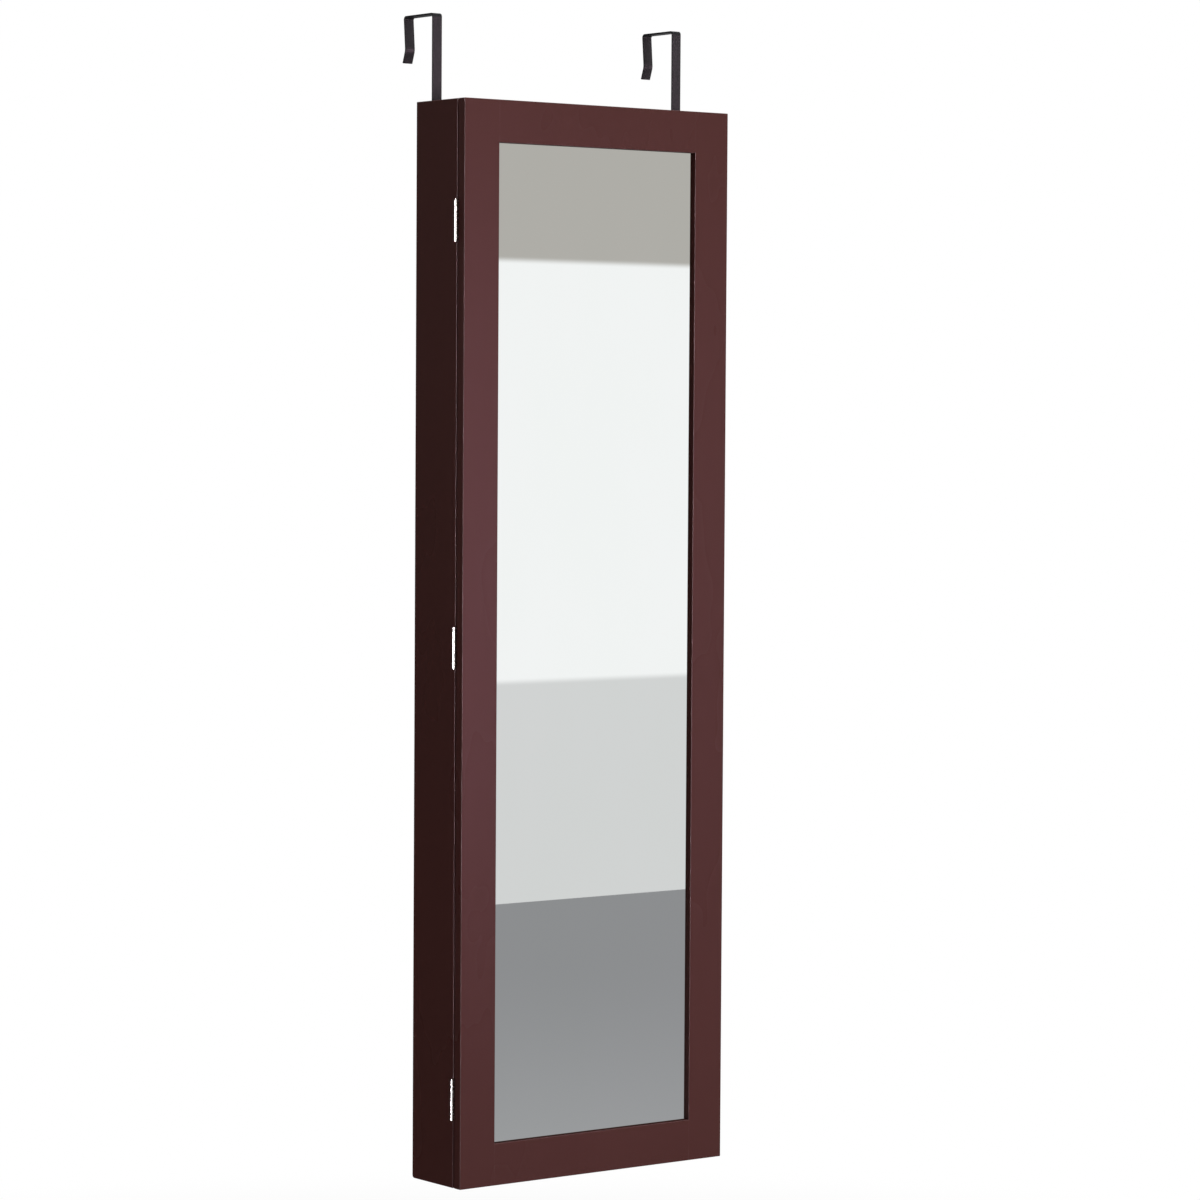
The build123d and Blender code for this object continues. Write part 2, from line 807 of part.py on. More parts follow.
pieces["left_door_hook"] = door_hook(-1)
pieces["right_door_hook"] = door_hook(1)


# Door frame: four pieces cut from one rounded block, so that they line up
def around_opening(cover, y_range):
    """A block that is larger than the mirror's opening by a cover on all sides."""
    reach = opening_half + cover
    return block(
        (-reach, reach), y_range, (frame_width - cover, cabinet_height - frame_width + cover)
    )


whole_depth = (door_front, door_back)
door_block = block((-half_width, half_width), whole_depth, (0, cabinet_height))
door_block = fillet(door_block.edges(), arris_radius) - around_opening(0.0, whole_depth)
opening_edges = door_block.faces().sort_by(Axis.Y)[0].inner_wires()[0].edges()
door_block = fillet(opening_edges, arris_radius)
glass_reach = glass_cover + rabbet_clearance
door_block = door_block - around_opening(glass_reach, (glass_front, door_back))
backer_reach = backer_cover + rabbet_clearance
door_block = door_block - around_opening(backer_reach, (glass_back, door_back))


def door_dowels(grow=0.0):
    """The dowels that join the door's rails to its stiles."""
    dowels = []
    depth = (door_front + door_back) / 2
    for side in (-1, 1):
        for inset in (first_door_dowel_inset, second_door_dowel_inset):
            for height in (inset, cabinet_height - inset):
                start = (side * (opening_half - door_dowel_depth - grow), depth, height)
                end = (side * (opening_half + door_dowel_depth + grow), depth, height)
                dowels.append(bar(start, end, dowel_radius + grow))
    return dowels


def backer_screws(grow=0.0):
    """The pan-headed screws along the mirror backer's edges."""
    inset = (glass_reach + backer_cover) / 2
    half_x = opening_half + inset
    low = frame_width - inset
    tall = cabinet_height - 2 * low
    places = []
    for step in range(backer_screws_up):
        height = low + tall * (step + 0.5) / backer_screws_up
        places += [(-half_x, height), (half_x, height)]
    for step in range(backer_screws_across):
        x = half_x * (2 * (step + 0.5) / backer_screws_across - 1)
        places += [(x, low), (x, low + tall)]
    screws = []
    for x, height in places:
        place = (x, backer_back + pan_head_height, height)
        length = backer_screw_length
        screws.append(screw(place, (0, -1, 0), small_screw_radius, length, False, grow))
    return screws


door_holes = door_dowels(dowel_clearance) + backer_screws(screw_clearance)
door_holes += hinge_screws(True, screw_clearance) + [strike_hole]
door_block = cut(door_block, door_holes)
rail_bottom = (0, frame_width)
rail_top = (cabinet_height - frame_width, cabinet_height)
rails_span = (-opening_half, opening_half)
pieces["door_left_stile"] = door_block & block(
    (-half_width, -opening_half), whole_depth, (0, cabinet_height)
)
pieces["door_right_stile"] = door_block & block(
    (opening_half, half_width), whole_depth, (0, cabinet_height)
)
pieces["door_bottom_rail"] = door_block & block(rails_span, whole_depth, rail_bottom)
pieces["door_top_rail"] = door_block & block(rails_span, whole_depth, rail_top)
pieces["door_dowels"] = group(door_dowels())
pieces["backer_screws"] = group(backer_screws())

# Mirror, backer and lining
pieces["mirror_glass"] = around_opening(glass_cover, (glass_front, glass_back))
mirror_backer = around_opening(backer_cover, (glass_back, backer_back))
door_lining = around_opening(glass_cover, (backer_back, door_back))

# Earring boards, each on four posts that go through the lining to the backer
board_middle_heights = {
    "upper_earring_board": cabinet_height - upper_earring_board_drop,
    "lower_earring_board": lower_earring_board_height,
}
post_x = earring_board_width / 2 - earring_post_inset
post_rise = earring_board_height / 2 - earring_post_inset
post_front = door_back + earring_board_gap
post_places = []
for middle in board_middle_heights.values():
    for x in (-post_x, post_x):
        for rise in (-post_rise, post_rise):
            post_places.append((x, middle + rise))


def earring_screws(grow=0.0):
    """The screws that hold the earring boards to their posts."""
    screws = []
    for x, height in post_places:
        place = (x, earring_board_front, height)
        length = earring_screw_length
        screws.append(screw(place, (0, -1, 0), small_screw_radius, length, True, grow))
    return screws


def earring_board(middle):
    """A flat board with round corners and a grid of small holes."""
    outline = RectangleRounded(earring_board_width, earring_board_height, earring_board_corner)
    grid = GridLocations(
        earring_hole_pitch_x, earring_hole_pitch_z, earring_hole_columns, earring_hole_rows
    )
    face = outline - grid * Circle(earring_hole_radius)
    board = extrude(Plane.XZ * face, earring_board_thickness)
    return cut(Pos(0, earring_board_front, middle) * board, earring_screws(screw_clearance))


posts = [
    bar((x, backer_back, height), (x, post_front, height), earring_post_radius)
    for x, height in post_places
]
lining_holes = [
    bar((x, backer_back, height), (x, door_back, height), earring_post_radius + screw_clearance)
    for x, height in post_places
]
for name, middle in board_middle_heights.items():
    pieces[name] = earring_board(middle)
pieces["earring_board_posts"] = group(cut(post, earring_screws(screw_clearance)) for post in posts)
pieces["earring_board_screws"] = group(earring_screws())
pieces["mirror_backer"] = cut(mirror_backer, backer_screws(screw_clearance))
pieces["door_lining"] = cut(door_lining, lining_holes)

for name, piece in pieces.items():
    export_step(piece, "parts/" + name + ".step")
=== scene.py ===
"""Looks of a tall mirrored jewelry cabinet that hangs over a room door.

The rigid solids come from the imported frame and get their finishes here. The soft parts, the
screws, the necklace hooks and the stitches are made here, and stand for the plain solids.
Lengths are in metres unless a name ends in _mm.
"""

import logging
import math
from dataclasses import dataclass, field
from enum import Enum
from typing import Any, ClassVar, Iterable

import bmesh
import bpy
import numpy as np
from mathutils import Matrix, Vector


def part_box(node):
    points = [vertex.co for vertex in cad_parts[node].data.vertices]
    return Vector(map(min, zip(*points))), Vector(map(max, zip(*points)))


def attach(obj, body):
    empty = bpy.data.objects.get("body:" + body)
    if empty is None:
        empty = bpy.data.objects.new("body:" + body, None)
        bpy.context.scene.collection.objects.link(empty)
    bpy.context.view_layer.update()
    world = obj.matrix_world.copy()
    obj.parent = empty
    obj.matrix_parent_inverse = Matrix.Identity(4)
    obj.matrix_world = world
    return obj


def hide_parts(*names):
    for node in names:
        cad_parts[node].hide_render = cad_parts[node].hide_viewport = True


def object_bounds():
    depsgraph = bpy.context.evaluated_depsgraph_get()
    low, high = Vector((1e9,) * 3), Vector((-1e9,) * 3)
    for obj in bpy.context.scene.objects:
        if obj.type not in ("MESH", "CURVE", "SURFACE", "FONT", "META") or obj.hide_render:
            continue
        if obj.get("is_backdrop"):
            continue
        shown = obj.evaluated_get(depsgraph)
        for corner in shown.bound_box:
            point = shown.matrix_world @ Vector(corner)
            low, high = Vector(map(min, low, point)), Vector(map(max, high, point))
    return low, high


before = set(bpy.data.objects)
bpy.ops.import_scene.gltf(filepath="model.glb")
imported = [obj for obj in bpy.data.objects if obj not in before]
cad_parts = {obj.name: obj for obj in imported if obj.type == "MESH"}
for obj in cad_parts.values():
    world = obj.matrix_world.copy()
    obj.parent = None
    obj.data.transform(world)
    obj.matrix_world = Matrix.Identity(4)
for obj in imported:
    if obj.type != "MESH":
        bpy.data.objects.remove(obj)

MM = 0.001
CASE = "case"
DOOR = "door"
MERGE_DISTANCE = 0.001 * MM

# A face that is this square to Y is shaded flat, and a turned edge has this many steps.
FLAT_FACE = 0.999
TURN_STEPS = 3

# A ray's depth stays under this until its first reflection has been shown.
FIRST_REFLECTION = 1.5

# The noise values between which a pattern goes from none to all.
PATCH_RANGE = (0.34, 0.66)
RELIEF_RANGE = (0.3, 0.7)
CHIP_RANGE = (0.35, 0.65)
DUST_RANGE = (0.3, 0.75)

Triple = tuple[float, float, float]
Color = Triple
Inputs = dict[str | int, Any]

log = logging.getLogger("jewelry_cabinet")


# Node trees


class Graph:
    """Adds and links the nodes of one node tree."""

    def __init__(self, tree: bpy.types.NodeTree) -> None:
        """Works on the given tree."""
        self.tree = tree

    def add(self, kind: str, inputs: Inputs | None = None, **settings: Any) -> bpy.types.Node:
        """Adds a node.

        Args:
            kind: the node's type name.
            inputs: values, or sockets to link from, by the input's name or position.
            **settings: the node's own settings.

        Returns:
            The new node.
        """
        node = self.tree.nodes.new(kind)
        for name, value in settings.items():
            setattr(node, name, value)
        for key, value in (inputs or {}).items():
            if isinstance(value, bpy.types.NodeSocket):
                self.tree.links.new(value, node.inputs[key])
            else:
                node.inputs[key].default_value = value
        return node

    def maths(self, operation: str, *values: Any) -> bpy.types.NodeSocket:
        """A Math node's result for the given values or sockets."""
        return self.add("ShaderNodeMath", dict(enumerate(values)), operation=operation).outputs[0]

    def noise(self, vector: Any, scale: Any, detail: float = 2.0) -> bpy.types.NodeSocket:
        """A noise value, mostly from 0.3 to 0.7, at a scale in cells per metre."""
        inputs = {"Vector": vector, "Scale": scale, "Detail": detail}
        return self.add("ShaderNodeTexNoise", inputs).outputs[0]

    def ramp(self, value: Any, low: float, high: float, to_low: float = 0.0,
             to_high: float = 1.0) -> bpy.types.NodeSocket:
        """A smooth step of a value from one range to another."""
        inputs = {0: value, 1: low, 2: high, 3: to_low, 4: to_high}
        return self.add("ShaderNodeMapRange", inputs, interpolation_type="SMOOTHSTEP").outputs[0]

    def blend(self, factor: Any, first: Any, second: Any) -> bpy.types.NodeSocket:
        """A mix of two colours."""
        inputs = {0: factor, 6: first, 7: second}
        return self.add("ShaderNodeMix", inputs, data_type="RGBA").outputs[2]


def opaque(color: Color) -> tuple[float, float, float, float]:
    """The colour with full alpha."""
    return (*color, 1.0)


def empty_material(name: str) -> tuple[bpy.types.Material, Graph]:
    """A new material with no nodes in it.

    Args:
        name: its name.

    Returns:
        The material, and the graph of its tree.
    """
    made = bpy.data.materials.new(name)
    made.use_nodes = True
    made.node_tree.nodes.clear()
    return made, Graph(made.node_tree)


def node_group(kind: str, name: str, inputs: dict[str, str], outputs: dict[str, str],
               defaults: dict[str, Any] | None = None) -> tuple[Graph, bpy.types.Node, bpy.types.Node]:
    """Starts a node group with named sockets.

    Args:
        kind: the tree's type name.
        name: the group's name.
        inputs: each input's name and socket type.
        outputs: each output's name and socket type.
        defaults: values for some inputs.

    Returns:
        The group's graph, its input node and its output node.
    """
    tree = bpy.data.node_groups.new(name, kind)
    for label, socket_type in inputs.items():
        socket = tree.interface.new_socket(label, in_out="INPUT", socket_type=socket_type)
        if defaults and label in defaults:
            socket.default_value = defaults[label]
    for label, socket_type in outputs.items():
        tree.interface.new_socket(label, in_out="OUTPUT", socket_type=socket_type)
    graph = Graph(tree)
    return graph, graph.add("NodeGroupInput"), graph.add("NodeGroupOutput")


# Surface patterns shared by the finishes


class Pattern(Enum):
    """How a finish varies over its surface."""

    SPRAYED = "sprayed paint"
    PILE = "velvet pile"
    DRAWN = "drawn or rolled metal"
    GRAIN = "wood grain"
    CAST = "moulded grain"


@dataclass(frozen=True)
class PatternRule:
    """The sizes of one pattern.

    Attributes:
        stretch: how much the pattern is drawn out along X, Y and Z.
        patch_mm: the size of the large soft patches.
        fine_mm: the size of the fine relief.
        detail: how rough the fine relief is.
    """

    stretch: Triple
    patch_mm: float
    fine_mm: float
    detail: float

    patch_detail: ClassVar[float] = 3.0

    def group(self, pattern: Pattern) -> bpy.types.NodeTree:
        """The shader group of this pattern, built once.

        Args:
            pattern: the pattern that the rule belongs to.

        Returns:
            A group with a Vector and a Size going in, and a Mask and a Height coming out.
        """
        found = bpy.data.node_groups.get(pattern.value)
        if found:
            return found
        floats = "NodeSocketFloat"
        inputs = {"Vector": "NodeSocketVector", "Size": floats}
        outputs = {"Mask": floats, "Height": floats}
        graph, into, out = node_group("ShaderNodeTree", pattern.value, inputs, outputs, {"Size": 1.0})
        drawn = graph.add("ShaderNodeMapping", {"Vector": into.outputs["Vector"], "Scale": self.stretch})
        patch_scale = graph.maths("DIVIDE", 1.0 / (self.patch_mm * MM), into.outputs["Size"])
        fine_scale = graph.maths("DIVIDE", 1.0 / (self.fine_mm * MM), into.outputs["Size"])
        patches = graph.noise(drawn.outputs[0], patch_scale, self.patch_detail)
        fine = graph.noise(drawn.outputs[0], fine_scale, self.detail)
        graph.tree.links.new(graph.ramp(patches, *PATCH_RANGE), out.inputs["Mask"])
        graph.tree.links.new(graph.ramp(fine, *RELIEF_RANGE), out.inputs["Height"])
        return graph.tree


PATTERN_RULES = {
    Pattern.SPRAYED: PatternRule((1.0, 1.0, 0.45), 130.0, 1.1, 2.0),
    Pattern.PILE: PatternRule((1.0, 1.0, 0.5), 24.0, 0.45, 4.0),
    Pattern.DRAWN: PatternRule((0.08, 1.0, 1.0), 6.0, 0.5, 3.0),
    Pattern.GRAIN: PatternRule((0.12, 1.0, 1.0), 5.0, 0.7, 5.0),
    Pattern.CAST: PatternRule((1.0, 1.0, 1.0), 40.0, 0.6, 3.0),
}


def edge_wear_and_highlight_group() -> bpy.types.NodeTree:
    """The group that finds worn edges and the rounded arrises that get a painted highlight, built once.

    Returns:
        A group with a Vector, a Radius, an Amount and the strength of the painted highlight going in.
        Its Mask is high where a surface turns within Radius, for worn edges, and on a board's rounded
        arrises, where it is a painted highlight.
    """
    found = bpy.data.node_groups.get("edge wear")
    if found:
        return found
    turned, sloping = (0.02, 0.25), (0.05, 0.25)
    chips_per_metre, chip_detail, least_chip = 90.0, 4.0, 0.25
    floats = "NodeSocketFloat"
    inputs = {"Vector": "NodeSocketVector", "Radius": floats, "Amount": floats, "Arris Highlight": floats}
    graph, into, out = node_group("ShaderNodeTree", "edge wear", inputs, {"Mask": floats})
    rounded = graph.add("ShaderNodeBevel", {"Radius": into.outputs["Radius"]}, samples=4)
    plain = graph.add("ShaderNodeNewGeometry").outputs["True Normal"]
    turn = graph.add("ShaderNodeVectorMath", {0: rounded.outputs[0], 1: plain}, operation="DOT_PRODUCT")
    edge = graph.ramp(graph.maths("SUBTRACT", 1.0, turn.outputs["Value"]), *turned)
    chips = graph.noise(into.outputs["Vector"], chips_per_metre, chip_detail)
    broken = graph.ramp(chips, *CHIP_RANGE, least_chip)
    worn = graph.maths("MULTIPLY", graph.maths("MULTIPLY", edge, broken), into.outputs["Amount"])
    # The normal's slope off a board's faces finds its rounded arrises; that mask is a painted highlight.
    local = graph.add("ShaderNodeVectorTransform", {0: plain}, vector_type="NORMAL")
    sides = graph.add("ShaderNodeVectorMath", {0: local.outputs[0]}, operation="ABSOLUTE")
    parts = graph.add("ShaderNodeSeparateXYZ", {0: sides.outputs[0]}).outputs
    square = graph.maths("MAXIMUM", graph.maths("MAXIMUM", parts["X"], parts["Y"]), parts["Z"])
    slope = graph.ramp(graph.maths("SUBTRACT", 1.0, square), *sloping)
    arris_highlight = graph.maths("MULTIPLY", slope, into.outputs["Arris Highlight"])
    graph.tree.links.new(graph.maths("MAXIMUM", worn, arris_highlight), out.inputs["Mask"])
    return graph.tree


def dust_group() -> bpy.types.NodeTree:
    """The group that lays a thin patchy dust on faces that look up, built once.

    Returns:
        A group with a Vector and an Amount going in, and a Mask coming out.
    """
    found = bpy.data.node_groups.get("dust")
    if found:
        return found
    facing_up = (0.4, 1.0)
    patches_per_metre, patch_detail, least_patch = 35.0, 5.0, 0.3
    floats = "NodeSocketFloat"
    inputs = {"Vector": "NodeSocketVector", "Amount": floats}
    graph, into, out = node_group("ShaderNodeTree", "dust", inputs, {"Mask": floats})
    normal = graph.add("ShaderNodeNewGeometry").outputs["True Normal"]
    upward = graph.add("ShaderNodeSeparateXYZ", {0: normal}).outputs["Z"]
    patches = graph.noise(into.outputs["Vector"], patches_per_metre, patch_detail)
    patchy = graph.ramp(patches, *DUST_RANGE, least_patch)
    lying = graph.maths("MULTIPLY", graph.ramp(upward, *facing_up), patchy)
    mask = graph.maths("MULTIPLY", lying, into.outputs["Amount"])
    graph.tree.links.new(mask, out.inputs["Mask"])
    return graph.tree


# Finishes


@dataclass(frozen=True)
class Finish:
    """One finish of the cabinet.

    Attributes:
        slot: the record's material slot, which the material is named after.
        color: the main colour, linear.
        second: the colour of the patches.
        pattern: how it varies.
        size: the pattern's size against its rule.
        roughness: the smoothest roughness.
        roughness_spread: how much rougher the patches are.
        relief_mm: the depth of the fine relief.
        edge: the colour of worn edges, and on the paint also of the painted highlight on its arrises.
        edge_amount: how strong the worn edges are.
        edge_mm: how wide the worn edges are.
        arris_highlight: how strongly the rounded arrises of a board get the painted highlight.
        dust: how strong the dust is on faces that look up.
        constants: the values of the shader's own sockets.
    """

    slot: str
    color: Color
    second: Color
    pattern: Pattern
    size: float = 1.0
    roughness: float = 0.4
    roughness_spread: float = 0.06
    relief_mm: float = 0.01
    edge: Color = (0.5, 0.5, 0.5)
    edge_amount: float = 0.0
    edge_mm: float = 0.8
    arris_highlight: float = 0.0
    dust: float = 0.0
    constants: dict[str, Any] = field(default_factory=dict)

    dust_color: ClassVar[Color] = (0.42, 0.40, 0.38)

    def material(self) -> bpy.types.Material:
        """The finish as a material, built once.

        Returns:
            The material, named after the slot.
        """
        name = self.slot + "_finish"
        found = bpy.data.materials.get(name)
        if found:
            return found
        made, graph = empty_material(name)
        made.diffuse_color = opaque(self.color)
        place = graph.add("ShaderNodeTexCoord").outputs["Object"]
        tree = PATTERN_RULES[self.pattern].group(self.pattern)
        pattern = graph.add("ShaderNodeGroup", node_tree=tree)
        graph.tree.links.new(place, pattern.inputs["Vector"])
        pattern.inputs["Size"].default_value = self.size
        mask, height = pattern.outputs["Mask"], pattern.outputs["Height"]
        color = graph.blend(mask, opaque(self.color), opaque(self.second))
        # Worn edges, and on the paint a painted highlight along the rounded arrises as well.
        if self.edge_amount > 0.0:
            wear_and_highlight = graph.add("ShaderNodeGroup", node_tree=edge_wear_and_highlight_group())
            graph.tree.links.new(place, wear_and_highlight.inputs["Vector"])
            wear_and_highlight.inputs["Radius"].default_value = self.edge_mm * MM
            wear_and_highlight.inputs["Amount"].default_value = self.edge_amount
            wear_and_highlight.inputs["Arris Highlight"].default_value = self.arris_highlight
            color = graph.blend(wear_and_highlight.outputs["Mask"], color, opaque(self.edge))
        if self.dust > 0.0:
            dust = graph.add("ShaderNodeGroup", node_tree=dust_group())
            graph.tree.links.new(place, dust.inputs["Vector"])
            dust.inputs["Amount"].default_value = self.dust
            color = graph.blend(dust.outputs["Mask"], color, opaque(self.dust_color))
        rough = graph.ramp(mask, 0.0, 1.0, self.roughness, self.roughness + self.roughness_spread)
        bump = graph.add("ShaderNodeBump", {"Distance": self.relief_mm * MM, "Height": height})
        shader = graph.add(
            "ShaderNodeBsdfPrincipled",
            {"Base Color": color, "Roughness": rough, "Normal": bump.outputs[0], **self.constants},
        )
        graph.add("ShaderNodeOutputMaterial", {"Surface": shader.outputs[0]})
        return made


# The light pink edge colour of the paint is a painted highlight along the rounded arrises, mixed with
# real worn edges.
MAHOGANY_PAINT = Finish(
    "mahogany_paint", (0.097, 0.0320, 0.0275), (0.100, 0.0332, 0.0285), Pattern.SPRAYED,
    roughness=0.27, roughness_spread=0.02, relief_mm=0.010,
    edge=(0.34, 0.21, 0.22), edge_amount=0.25, edge_mm=0.7, arris_highlight=0.45, dust=0.03,
    constants={"Specular IOR Level": 0.09},
)
BACK_BOARD = Finish(
    "back_board", (0.055, 0.026, 0.023), (0.070, 0.034, 0.029), Pattern.CAST,
    roughness=0.62, roughness_spread=0.12, relief_mm=0.03,
    edge=(0.20, 0.13, 0.09), edge_amount=0.35, constants={"Specular IOR Level": 0.08},
)
VELVET = Finish(
    "velvet", (0.020, 0.020, 0.021), (0.028, 0.028, 0.029), Pattern.PILE,
    roughness=0.86, roughness_spread=0.1, relief_mm=0.07,
    constants={"Specular IOR Level": 0.0, "Sheen Weight": 0.38, "Sheen Roughness": 0.45,
               "Sheen Tint": (0.62, 0.62, 0.66, 1.0)},
)
BARE_BEECH = Finish(
    "dowel_wood", (0.52, 0.35, 0.19), (0.62, 0.44, 0.26), Pattern.GRAIN,
    roughness=0.6, relief_mm=0.05,
)
HOOK_ENAMEL = Finish(
    "hook_black", (0.026, 0.026, 0.028), (0.032, 0.032, 0.034), Pattern.CAST,
    roughness=0.34, roughness_spread=0.12, relief_mm=0.025,
    edge=(0.20, 0.20, 0.22), edge_amount=0.55, edge_mm=0.5, dust=0.08,
    constants={"Specular IOR Level": 0.2},
)
HINGE_NICKEL = Finish(
    "hinge_nickel", (0.82, 0.80, 0.77), (0.70, 0.68, 0.65), Pattern.DRAWN, size=0.5,
    roughness=0.16, roughness_spread=0.12, relief_mm=0.006, constants={"Metallic": 1.0},
)
SCREW_STEEL = Finish(
    "screw_steel", (0.62, 0.62, 0.60), (0.50, 0.50, 0.48), Pattern.DRAWN, size=0.4,
    roughness=0.26, roughness_spread=0.16, relief_mm=0.006, constants={"Metallic": 1.0},
)
BRIGHT_ROD = Finish(
    "bright_rod", (0.78, 0.78, 0.77), (0.70, 0.70, 0.69), Pattern.DRAWN,
    roughness=0.12, roughness_spread=0.10, relief_mm=0.004, constants={"Metallic": 1.0},
)
BLACK_PLASTIC = Finish(
    "black_plastic", (0.020, 0.020, 0.021), (0.022, 0.022, 0.023), Pattern.CAST,
    roughness=0.46, roughness_spread=0.03, relief_mm=0.03,
    edge=(0.07, 0.07, 0.075), edge_amount=0.3, edge_mm=0.4, dust=0.05,
    constants={"Specular IOR Level": 0.15},
)
FERRITE = Finish(
    "magnet_dark", (0.085, 0.085, 0.09), (0.12, 0.12, 0.125), Pattern.CAST, size=0.5,
    roughness=0.55, relief_mm=0.03, constants={"Metallic": 0.4},
)
CLEAR_RUBBER = Finish(
    "clear_rubber", (0.66, 0.66, 0.63), (0.74, 0.73, 0.69), Pattern.CAST, size=0.5,
    roughness=0.32, relief_mm=0.01, constants={"Transmission Weight": 0.35, "IOR": 1.45},
)
SILVERED_GLASS = Finish(
    "mirror", (0.90, 0.925, 0.915), (0.91, 0.93, 0.925), Pattern.SPRAYED,
    roughness=0.004, roughness_spread=0.006, relief_mm=0.0, constants={"Metallic": 1.0},
)
BLACK_THREAD = Finish(
    "stitch_thread", (0.05, 0.05, 0.055), (0.09, 0.09, 0.095), Pattern.DRAWN, size=0.3,
    roughness=0.6, relief_mm=0.03, constants={"Sheen Weight": 0.3},
)


# Shapes


@dataclass(frozen=True)
class Block:
    """The box of one solid.

    Attributes:
        low: its lowest corner.
        high: its highest corner.
    """

    low: Vector
    high: Vector

    @property
    def size(self) -> Vector:
        """Its lengths along X, Y and Z."""
        return self.high - self.low

    @property
    def centre(self) -> Vector:
        """Its middle."""
        return (self.low + self.high) / 2


def node_box(node: str) -> Block:
    """The box of a whole node of the frame."""
    return Block(*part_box(node))


def merged_copy(node: str) -> bmesh.types.BMesh:
    """A copy of a node's mesh with its loose triangles joined.

    Args:
        node: the node's name.

    Returns:
        The copy, which the caller frees.
    """
    copy = bmesh.new()
    copy.from_mesh(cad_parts[node].data)
    bmesh.ops.remove_doubles(copy, verts=copy.verts, dist=MERGE_DISTANCE)
    return copy


def solid_boxes(node: str) -> list[Block]:
    """The box of each separate solid of a node.

    Args:
        node: a node whose solids don't touch.

    Returns:
        The boxes, from the lowest to the highest and then from left to right.
    """
    copy = merged_copy(node)
    left, found = set(copy.verts), []
    while left:
        front = [left.pop()]
        island = []
        while front:
            vertex = front.pop()
            island.append(vertex.co.copy())
            for edge in vertex.link_edges:
                other = edge.other_vert(vertex)
                if other in left:
                    left.remove(other)
                    front.append(other)
        corners = np.array(island)
        found.append(Block(Vector(corners.min(0)), Vector(corners.max(0))))
    copy.free()
    return sorted(found, key=lambda box: (round(box.low.z, 5), round(box.low.x, 5)))


def new_object(name: str, mesh: bpy.types.Mesh) -> bpy.types.Object:
    """Puts a mesh into the scene as an object at the origin.

    Args:
        name: the object's name.
        mesh: its mesh.

    Returns:
        The object.
    """
    made = bpy.data.objects.new(name, mesh)
    bpy.context.scene.collection.objects.link(made)
    return made


def mesh_of(name: str, shape: bmesh.types.BMesh) -> bpy.types.Mesh:
    """Turns a shape that is being edited into a mesh.

    Args:
        name: the mesh's name.
        shape: the shape, which is freed.

    Returns:
        The mesh.
    """
    mesh = bpy.data.meshes.new(name)
    shape.to_mesh(mesh)
    shape.free()
    return mesh


def grid_mesh(name: str, points: np.ndarray, closed_across: bool, capped: bool) -> bpy.types.Mesh:
    """A smooth mesh from rows of points.

    Args:
        name: the mesh's name.
        points: rows of points, shaped (rows, columns, 3).
        closed_across: whether each row joins up with itself.
        capped: whether the first and last rows are closed with a face.

    Returns:
        The mesh, with its faces turned outwards if it is closed.
    """
    rows, columns = points.shape[:2]
    shape = bmesh.new()
    grid = [[shape.verts.new(point) for point in row] for row in points]
    last = columns if closed_across else columns - 1
    for row in range(rows - 1):
        for column in range(last):
            after = (column + 1) % columns
            here, above = grid[row], grid[row + 1]
            shape.faces.new((here[column], here[after], above[after], above[column]))
    if capped:
        shape.faces.new(grid[0])
        shape.faces.new(grid[-1])
    bmesh.ops.recalc_face_normals(shape, faces=shape.faces)
    for face in shape.faces:
        face.smooth = len(face.verts) == 4
    return mesh_of(name, shape)


def turned_mesh(name: str, profile: Iterable[tuple[float, float]], segments: int) -> bpy.types.Mesh:
    """A closed turned shape about Z.

    Args:
        name: the mesh's name.
        profile: pairs of radius and height, from one end to the other.
        segments: how many sides it has.

    Returns:
        The mesh.
    """
    angles = np.arange(segments) * 2 * math.pi / segments
    rows = [np.stack([r * np.cos(angles), r * np.sin(angles), np.full(segments, z)], 1)
            for r, z in profile]
    return grid_mesh(name, np.array(rows), closed_across=True, capped=True)


def tube_mesh(name: str, line: np.ndarray, radius: np.ndarray, sides: int) -> bpy.types.Mesh:
    """A round tube along a line, closed at both ends.

    Args:
        name: the mesh's name.
        line: the centreline's points.
        radius: the tube's radius at each point.
        sides: how many sides it has.

    Returns:
        The mesh.
    """
    along = np.gradient(line, axis=0)
    along /= np.linalg.norm(along, axis=1)[:, None]
    side = np.cross(along, (1.0, 0.0, 0.0))
    weak = np.linalg.norm(side, axis=1) < 0.5
    side[weak] = np.cross(along[weak], (0.0, 0.0, 1.0))
    side /= np.linalg.norm(side, axis=1)[:, None]
    other = np.cross(along, side)
    angles = np.arange(sides) * 2 * math.pi / sides
    ring = np.cos(angles)[None, :, None] * side[:, None]
    ring += np.sin(angles)[None, :, None] * other[:, None]
    return grid_mesh(name, line[:, None] + ring * radius[:, None, None], True, True)


def plain_mesh(source: bpy.types.Object) -> bpy.types.Mesh:
    """What an object's modifiers make of it.

    Args:
        source: the object, with its modifiers live.

    Returns:
        The result as a plain mesh.
    """
    bpy.context.view_layer.update()
    graph = bpy.context.evaluated_depsgraph_get()
    return bpy.data.meshes.new_from_object(source.evaluated_get(graph), depsgraph=graph)


def with_modifier(source: bpy.types.Object, kind: str, **settings: Any) -> None:
    """Adds a modifier to an object and makes its result the object's own mesh.

    Args:
        source: the object.
        kind: the modifier's type.
        **settings: the modifier's own settings.
    """
    modifier = source.modifiers.new(kind.lower(), kind)
    for name, value in settings.items():
        setattr(modifier, name, value)
    made = plain_mesh(source)
    source.modifiers.clear()
    source.data = made


def dress(finish: Finish, *nodes: str) -> None:
    """Gives nodes of the frame a finish.

    Args:
        finish: the finish.
        *nodes: the nodes' names.
    """
    for node in nodes:
        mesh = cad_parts[node].data
        mesh.materials.clear()
        mesh.materials.append(finish.material())
        log.info("%s is dressed in %s", node, finish.slot)


